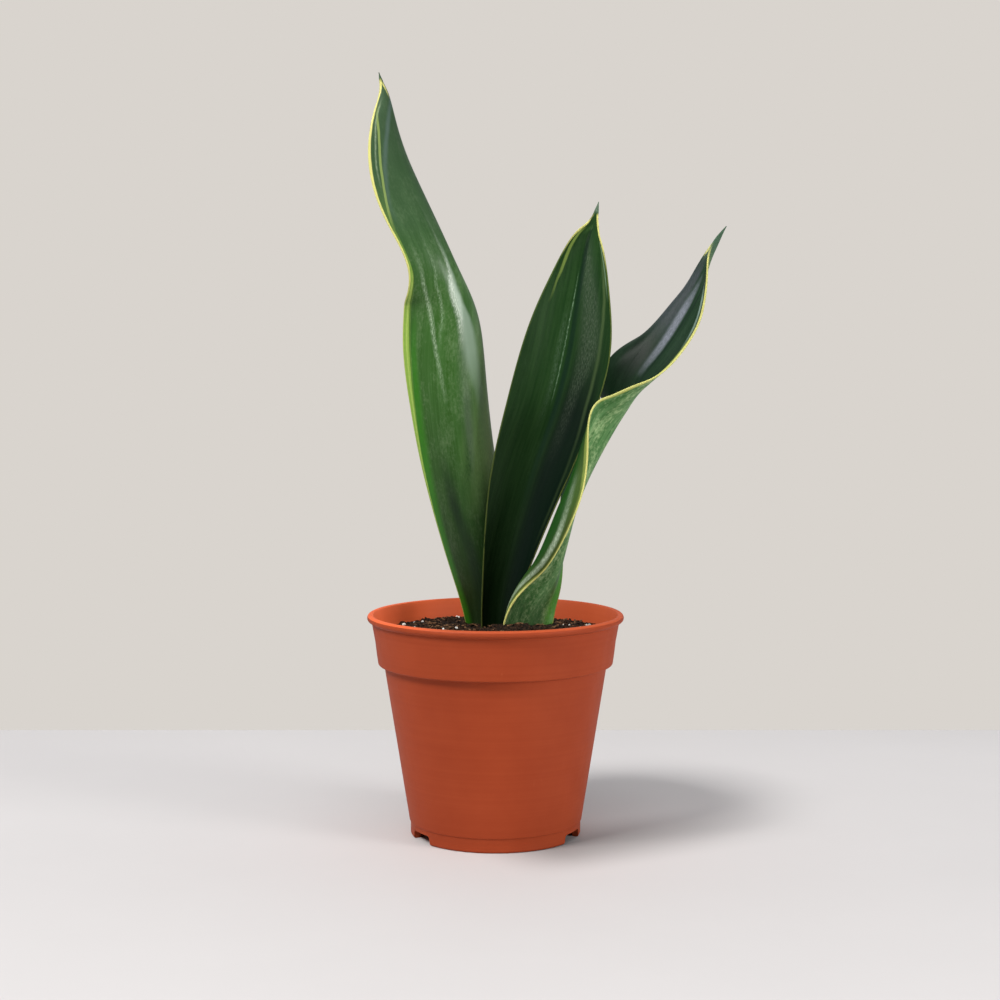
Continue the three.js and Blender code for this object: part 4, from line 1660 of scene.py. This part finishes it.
DARK_GREEN = LeafFinish(
    "leaf_dark_green",
    outer=FaceFinish(
        colour(46, 86, 38), colour(66, 102, 58), colour(104, 130, 92),
        # light: painted shade, darker towards the foot
        light=((0, 0.2), (0.2, 0.35), (0.4, 0.6), (0.6, 1)),
    ),
    inner=FaceFinish(
        colour(26, 55, 23), colour(42, 71, 35), colour(58, 82, 52), mottle=0.25,
        # light: painted shade darker towards the foot, and painted light at the tip
        light=((0, 0.14), (0.15, 0.24), (0.3, 0.52), (0.45, 0.88), (0.6, 1), (0.9, 1), (0.95, 1.5)),
    ),
    stripes=(
        Stripe(  # painted shade: the right half is darker low down
            Measure.KEEL, level(12), level(28),
            ((0, 0.5), (0.2, 0.8), (0.4, 0.88), (0.46, 0.6), (0.52, 0.3), (0.6, 0.15), (0.7, 0)),
            tint=colour(6, 18, 14), soft=0.6, face=Face.INNER,
        ),
        Stripe(  # painted grey reflection to the right of the midrib
            Measure.RIGHT,
            ((0.43, 15), (0.49, 12.2), (0.58, 12), (0.63, 12.7), (0.68, 12), (0.742, 11.2), (0.8, 8),
             (0.88, 5)),
            ((0, 5), (0.43, 8), (0.49, 15), (0.58, 13), (0.63, 10), (0.74, 8), (0.88, 3)),
            ((0.32, 0), (0.42, 0.15), (0.5, 0.3), (0.6, 0.26), (0.68, 0.36), (0.75, 0.42), (0.84, 0.35),
             (0.9, 0)),
            tint=colour(104, 118, 98), soft=0.8, broken=0.85, face=Face.INNER,
        ),
        Stripe(  # midrib, darkened by painted shade in its crease
            Measure.KEEL, ((0.5, 0.4), (0.58, -0.5), (1, -0.4)),
            ((0, 4), (0.5, 4.2), (0.6, 4.6), (0.8, 2), (1, 1)),
            ((0.25, 0), (0.34, 0.6), (0.42, 0.85), (0.58, 0.75), (0.7, 0.8), (0.8, 0.3), (0.85, 0)),
            tint=colour(16, 38, 26), soft=0.8, face=Face.INNER,
        ),
        Stripe(  # bright thread beside the midrib
            Measure.KEEL, level(-2.4), level(0.9),
            ((0.4, 0), (0.45, 0.6), (0.55, 0.7), (0.6, 0.4), (0.64, 0)),
            tint=colour(128, 160, 128), soft=0.9, broken=0.9, wobble=0.5, face=Face.INNER,
        ),
        Stripe(  # speckled bloom to the left of it
            Measure.KEEL, level(-4.8), level(4.5), ((0.36, 0), (0.44, 0.4), (0.52, 0.4), (0.57, 0)),
            tint=colour(78, 100, 78), soft=1, broken=0.9, face=Face.INNER,
        ),
        Stripe(  # inset stripe on the right
            Measure.RIGHT,
            ((0, 1.6), (0.26, 2.6), (0.318, 3.2), (0.36, 4.4), (0.412, 6.2), (0.458, 6.6), (0.518, 6),
             (0.563, 4.4), (0.583, 3.4), (0.646, 2.4), (0.7, 1.2)),
            ((0, 2.4), (0.4, 3.2), (1, 3.4)),
            ((0.2, 0), (0.26, 0.15), (0.36, 0.15), (0.43, 0.35), (0.5, 0.35), (0.57, 0.55), (0.61, 0.6),
             (0.68, 0.3), (0.71, 0)),
            tint=colour(86, 106, 66), soft=1, face=Face.INNER,
        ),
        Stripe(  # painted highlight on the turned margin
            Measure.RIGHT, level(1.3), level(1.4), ((0.58, 0), (0.62, 0.6), (0.7, 0.6), (0.74, 0)),
            tint=colour(128, 156, 122), soft=0.8, face=Face.INNER,
        ),
        Stripe(  # inset stripe on the left
            Measure.LEFT, ((0, 5.2), (0.574, 5.1), (0.604, 4.1), (0.625, 4), (0.683, 2.5), (0.761, 1.6)),
            ((0, 1.2), (0.6, 1.6), (0.66, 2.6), (0.78, 2.4)),
            ((0.56, 0), (0.6, 0.4), (0.64, 0.8), (0.76, 0.85), (0.81, 0)),
            tint=colour(124, 146, 70), soft=0.6, wobble=0.4, face=Face.INNER,
        ),
        Stripe(  # green blotch below the tip
            Measure.LEFT, level(4.4), level(3.4), ((0.74, 0), (0.78, 0.35), (0.82, 0.35), (0.85, 0)),
            tint=colour(74, 110, 54), soft=0.7, broken=0.5, face=Face.INNER,
        ),
        edge(Measure.LEFT, level(0.2), ((0, 0.3), (0.5, 0.2), (0.75, 0.35), (0.8, 0)), tint=OLIVE),
        edge(Measure.RIGHT, level(0.2), ((0, 0.3), (0.65, 0.4), (0.7, 0)), tint=OLIVE),
        Stripe(  # painted light on the tip
            Measure.KEEL, level(0), level(40), ((0.92, 0), (0.945, 0.85)),
            tint=colour(96, 116, 98),
        ),
        edge(
            Measure.LEFT, ((0, 0.3), (0.72, 0.4), (0.77, 1), (0.83, 1), (0.87, 0.4), (0.9, 0.3)),
            ((0.66, 0), (0.76, 0.8), (0.84, 0.9), (0.88, 0.5), (0.93, 0)),
            tint=YELLOW, wobble=1.2,
        ),
        edge(
            Measure.RIGHT, ((0, 0.3), (0.66, 0.4), (0.72, 0.65), (0.85, 0.7), (0.9, 0.5)),
            ((0.64, 0), (0.7, 0.8), (0.91, 0.9), (0.93, 0)),
            tint=YELLOW, wobble=0.4,
        ),
    ),
    glosses=(
        Stripe(  # the upper right half shines
            Measure.RIGHT, level(12), level(18),
            ((0.4, 0), (0.5, 0.1), (0.6, 0.25), (0.8, 0.25), (0.9, 0.1)), soft=0.7, face=Face.INNER,
        ),
    ),
    coat=0.0,
    coat_roughness=0.3,
    gloss=0.06,
    seed=40.0,
)

MOTTLED_GREEN = LeafFinish(
    "leaf_mottled_green",
    outer=FaceFinish(
        colour(50, 92, 44), colour(90, 130, 80), colour(176, 200, 146), mottle=0.8,
        # light: painted light and shade, darker at the foot and the tip
        light=(
            (0, 0.4), (0.08, 0.52), (0.13, 0.8), (0.18, 0.92), (0.25, 1), (0.4, 1.25), (0.7, 1), (0.9, 0.6),
        ),
    ),
    inner=FaceFinish(
        colour(26, 52, 32), colour(42, 68, 46), colour(62, 86, 64), mottle=0.4,
        # light: painted shade, darker in the middle of the leaf
        light=((0.4, 1), (0.5, 0.5), (0.58, 0.5), (0.7, 0.7), (1, 0.75)),
    ),
    stripes=(
        Stripe(  # painted grey reflection on the far half
            Measure.KEEL, ((0.7, -9), (0.8, -7), (0.9, -3)), ((0.7, 16), (0.8, 12), (0.9, 5)),
            ((0.6, 0), (0.67, 0.1), (0.73, 0.7), (0.86, 0.7), (0.92, 0)),
            tint=colour(68, 71, 79), soft=0.4, broken=0.3, face=Face.INNER,
        ),
        Stripe(  # painted streaked reflection on the far side of the groove
            Measure.KEEL, ((0.62, -1.6), (0.68, -0.7), (0.71, -0.4), (0.74, -0.2), (0.78, 0), (0.86, 0.5)),
            ((0, 5), (0.62, 5.4), (0.65, 6.6), (0.71, 7), (0.78, 6.4), (0.86, 3)),
            ((0.59, 0), (0.64, 0.55), (0.68, 0.85), (0.76, 0.9), (0.82, 0.4), (0.87, 0)),
            tint=colour(132, 136, 148), soft=0.75, broken=0.4, face=Face.INNER,
        ),
        Stripe(  # shade of the centre leaf
            Measure.KEEL, level(-9.5), level(17),
            ((0.54, 0), (0.58, 0.3), (0.62, 0.75), (0.65, 0.75), (0.68, 0.3), (0.71, 0)),
            tint=colour(20, 28, 22), soft=0.7, broken=0.3, face=Face.INNER,
        ),
        Stripe(  # painted shade in the groove
            Measure.KEEL,
            ((0, 1), (0.62, 1.4), (0.672, 3), (0.705, 3.9), (0.747, 4.5), (0.787, 4.8), (0.83, 5.6)),
            level(1.6), ((0.5, 0), (0.58, 0.6), (0.83, 0.75), (0.88, 0)),
            tint=colour(20, 34, 28), soft=0.8, wobble=0.4, face=Face.INNER,
        ),
        edge(  # saturated green of the rolled margin
            Measure.RIGHT, level(16), ((0.33, 0.9), (0.45, 0)),
            tint=colour(27, 68, 18), soft=0.4, face=Face.INNER,
        ),
        edge(  # its lit shoulder
            Measure.RIGHT, level(6), ((0.33, 0.8), (0.42, 0)),
            tint=colour(66, 88, 42), soft=0.6, face=Face.INNER,
        ),
        Stripe(  # painted highlight along it
            Measure.RIGHT, ((0, 2.2), (0.145, 2.4), (0.18, 3.1), (0.212, 3.3), (0.25, 4.1), (0.3, 4.6)),
            ((0, 2), (0.2, 3.2), (1, 2.6)),
            ((0, 0.2), (0.12, 0.6), (0.18, 0.85), (0.22, 0.8), (0.25, 0.35), (0.3, 0.15), (0.34, 0)),
            tint=colour(176, 194, 168), soft=0.9, broken=0.5, face=Face.INNER,
        ),
        edge(  # pale green band of the rolled margin
            Measure.RIGHT, ((0, 1.6), (0.3, 1.8), (0.5, 3.6), (0.6, 3.6), (0.66, 2.4), (0.72, 1.2)),
            ((0.3, 0.5), (0.5, 0.85), (0.66, 0.8), (0.74, 0)),
            tint=colour(146, 162, 80), soft=0.5, face=Face.INNER,
        ),
        Stripe(  # dark line in it
            Measure.RIGHT, level(1.9), level(0.8), ((0.48, 0), (0.53, 0.6), (0.63, 0.6), (0.68, 0)),
            tint=colour(66, 90, 40), face=Face.INNER,
        ),
        Stripe(  # pale rim near the bend
            Measure.RIGHT, level(1.8), level(1.8), ((0.68, 0), (0.72, 0.4), (0.8, 0.55), (0.85, 0)),
            tint=colour(150, 174, 162), soft=0.8, face=Face.INNER,
        ),
        edge(  # bright strip along the far margin at the foot
            Measure.LEFT, ((0.2, 9), (0.5, 4)), ((0, 0.7), (0.25, 0.9), (0.4, 0.3), (0.5, 0)),
            tint=colour(70, 132, 38), soft=0.7, broken=0.5, wobble=2, face=Face.OUTER,
        ),
        edge(
            Measure.RIGHT,
            ((0, 0.5), (0.3, 0.6), (0.4, 0.35), (0.46, 0.7), (0.52, 1.5), (0.62, 1.5), (0.7, 0.8),
             (0.9, 0.5)),
            ((0, 0.8), (0.3, 0.9), (0.4, 0.75), (0.8, 0.8), (0.93, 0.9), (0.95, 0)),
            tint=YELLOW, wobble=0.3,
        ),
        Stripe(  # greener middle of the margin where it is widest
            Measure.RIGHT, level(0.9), level(0.9), ((0.44, 0), (0.5, 0.75), (0.62, 0.75), (0.69, 0)),
            tint=colour(134, 152, 62), soft=0.7, wobble=0.4,
        ),
        Stripe(  # shade beside the margin at the foot
            Measure.RIGHT, level(12), level(20), ((0.09, 0.55), (0.14, 0)),
            tint=colour(26, 48, 20), soft=0.8, broken=0.5, face=Face.OUTER,
        ),
        Stripe(  # painted shade: a dark line outside the margin at the foot
            Measure.RIGHT, level(1.2), level(0.9), ((0.06, 0), (0.1, 0.75), (0.24, 0.75), (0.32, 0)),
            tint=colour(52, 62, 26), soft=0.6, face=Face.INNER,
        ),
        Stripe(  # grey tip
            Measure.KEEL, level(0), level(40), ((0.9, 0), (0.935, 0.8)),
            tint=colour(72, 98, 80),
        ),
        edge(Measure.LEFT, level(0.4), ((0, 0.9), (0.5, 0.6), (0.6, 0)), tint=OLIVE),
        edge(
            Measure.LEFT, ((0, 0.5), (1, 0.6)), ((0.91, 0), (0.925, 0.8), (0.94, 0.8), (0.96, 0)),
            tint=YELLOW,
        ),
    ),
    glosses=(
        Stripe(  # the back of the channel catches the backdrop
            Measure.KEEL, level(-4), level(16), ((0.68, 0), (0.74, 0.1), (0.9, 0.12)), soft=0.3,
            face=Face.INNER,
        ),
    ),
    coat=0.04,
    coat_roughness=0.32,
    gloss=0.08,
    seed=80.0,
)


def leaves() -> list[LeafBlade]:
    """The three leaves with their stations and finishes."""
    left = LeafBlade(
        Blade.LEFT,
        "leaf_grey_green",
        (
            (-3, 11, 74, 10, 10, 84, 50),
            (-4, 10.5, 104, 14, 13, 90, 55),
            (-9, 10, 135, 20, 18, 87, 55, 0, -20),
            (-14, 9, 170, 23.5, 23, 97, 58, 0, -35),
            (-17.5, 7, 200, 25, 26, 104, 60, 0, -35),
            (-18, 5, 228, 28, 26.5, 110, 65, 0, -30),
            (-16, 5, 250, 27.5, 26.5, 132, 72, 0, -10),
            (-21, 6, 270, 24.5, 25, 163, 72),
            (-31.5, 7, 293, 25, 22, 165, 68),
            (-41.5, 8, 315, 21.5, 18, 163, 65),
            (-47, 9, 333, 14, 12, 174, 75),
            (-50, 9, 344.5, 5.5, 6, 184, 100),
            (-52.4, 9, 350, 1.3, 1.7, 180, 80),
            (-54, 9, 355, 0.6, 0.6, 180, 60),
        ),
        GREY_GREEN,
        crease=0.7,
        lip_start=0.55,
    )
    centre = LeafBlade(
        Blade.CENTRE,
        "leaf_dark_green",
        (
            (1.5, 5, 74, 9, 9, -94, 60),
            (2, 5.5, 104, 10, 10, -96, 60),
            (8, 7, 135, 15, 15, -100, 55),
            (17, 8, 168, 20.8, 20.5, -103, 50),
            (28, 8.5, 200, 22, 24, -100, 45),
            (35, 9, 230, 22, 23, -96, 45),
            (40, 9, 256, 16.5, 17, -101, 50),
            (43, 9, 275, 10, 11, -98, 65),
            (45.2, 8.7, 283, 4.8, 5.8, -99, 75),
            (46.6, 8.4, 288.5, 1.4, 1.8, -98, 60),
            (48, 8, 295.5, 0.6, 0.6, -95, 60),
        ),
        DARK_GREEN,
        crease=0.8,
        lip_start=0.6,
        margin_thickness=0.6,
    )
    right = LeafBlade(
        Blade.RIGHT,
        "leaf_mottled_green",
        (
            (13, -8, 74, 11, 10.4, 95, 50, 40, 30),
            (17, -8, 104, 15.5, 12, 102, 50, 150, 45),
            (27, -5, 122, 21, 12.6, 146, 50, 205, 55),
            (35.5, 0, 148, 27.8, 19, 172, 50, 165, 25),
            (43, 2, 168, 24, 21, 172, 55, 140),
            (53.5, 3, 188, 24, 22, 167, 60, 65, 20),
            (61, 3.5, 200, 22, 22, 188, 60, -10, 40),
            (67, 4, 212, 20.5, 21.5, 210, 50, -10, 40),
            (77.5, 4, 227, 18.5, 18.5, 214, 35, 10, 75),
            (87, 4, 243, 14.5, 13.5, 216, 25, 20, 90),
            (94.5, 4, 257, 8.5, 7.5, 212, 30, 10, 50),
            (100, 4, 270, 7, 4, 192, 60, 20),
            (107, 4, 284, 0.6, 0.6, 180, 60),
        ),
        MOTTLED_GREEN,
        crease=0.7,
        lip_start=0.45,
        across=72,
    )
    return [left, centre, right]


def main() -> None:
    """Builds the studio, then every piece of the plant, and reports each piece."""
    logging.basicConfig(level=logging.INFO, format="%(name)s: %(message)s")
    studio = Studio()
    studio.build()
    pot = Pot()
    things = [pot.dress(), *PottingMix(pot).dress()]
    studio.shade_key(things)
    things += [RootFinish().dress(), *(leaf.dress() for leaf in leaves())]
    for thing in things:
        LOG.info("%s: %d faces", thing.name, len(thing.data.polygons))


if __name__ == "__main__":
    main()
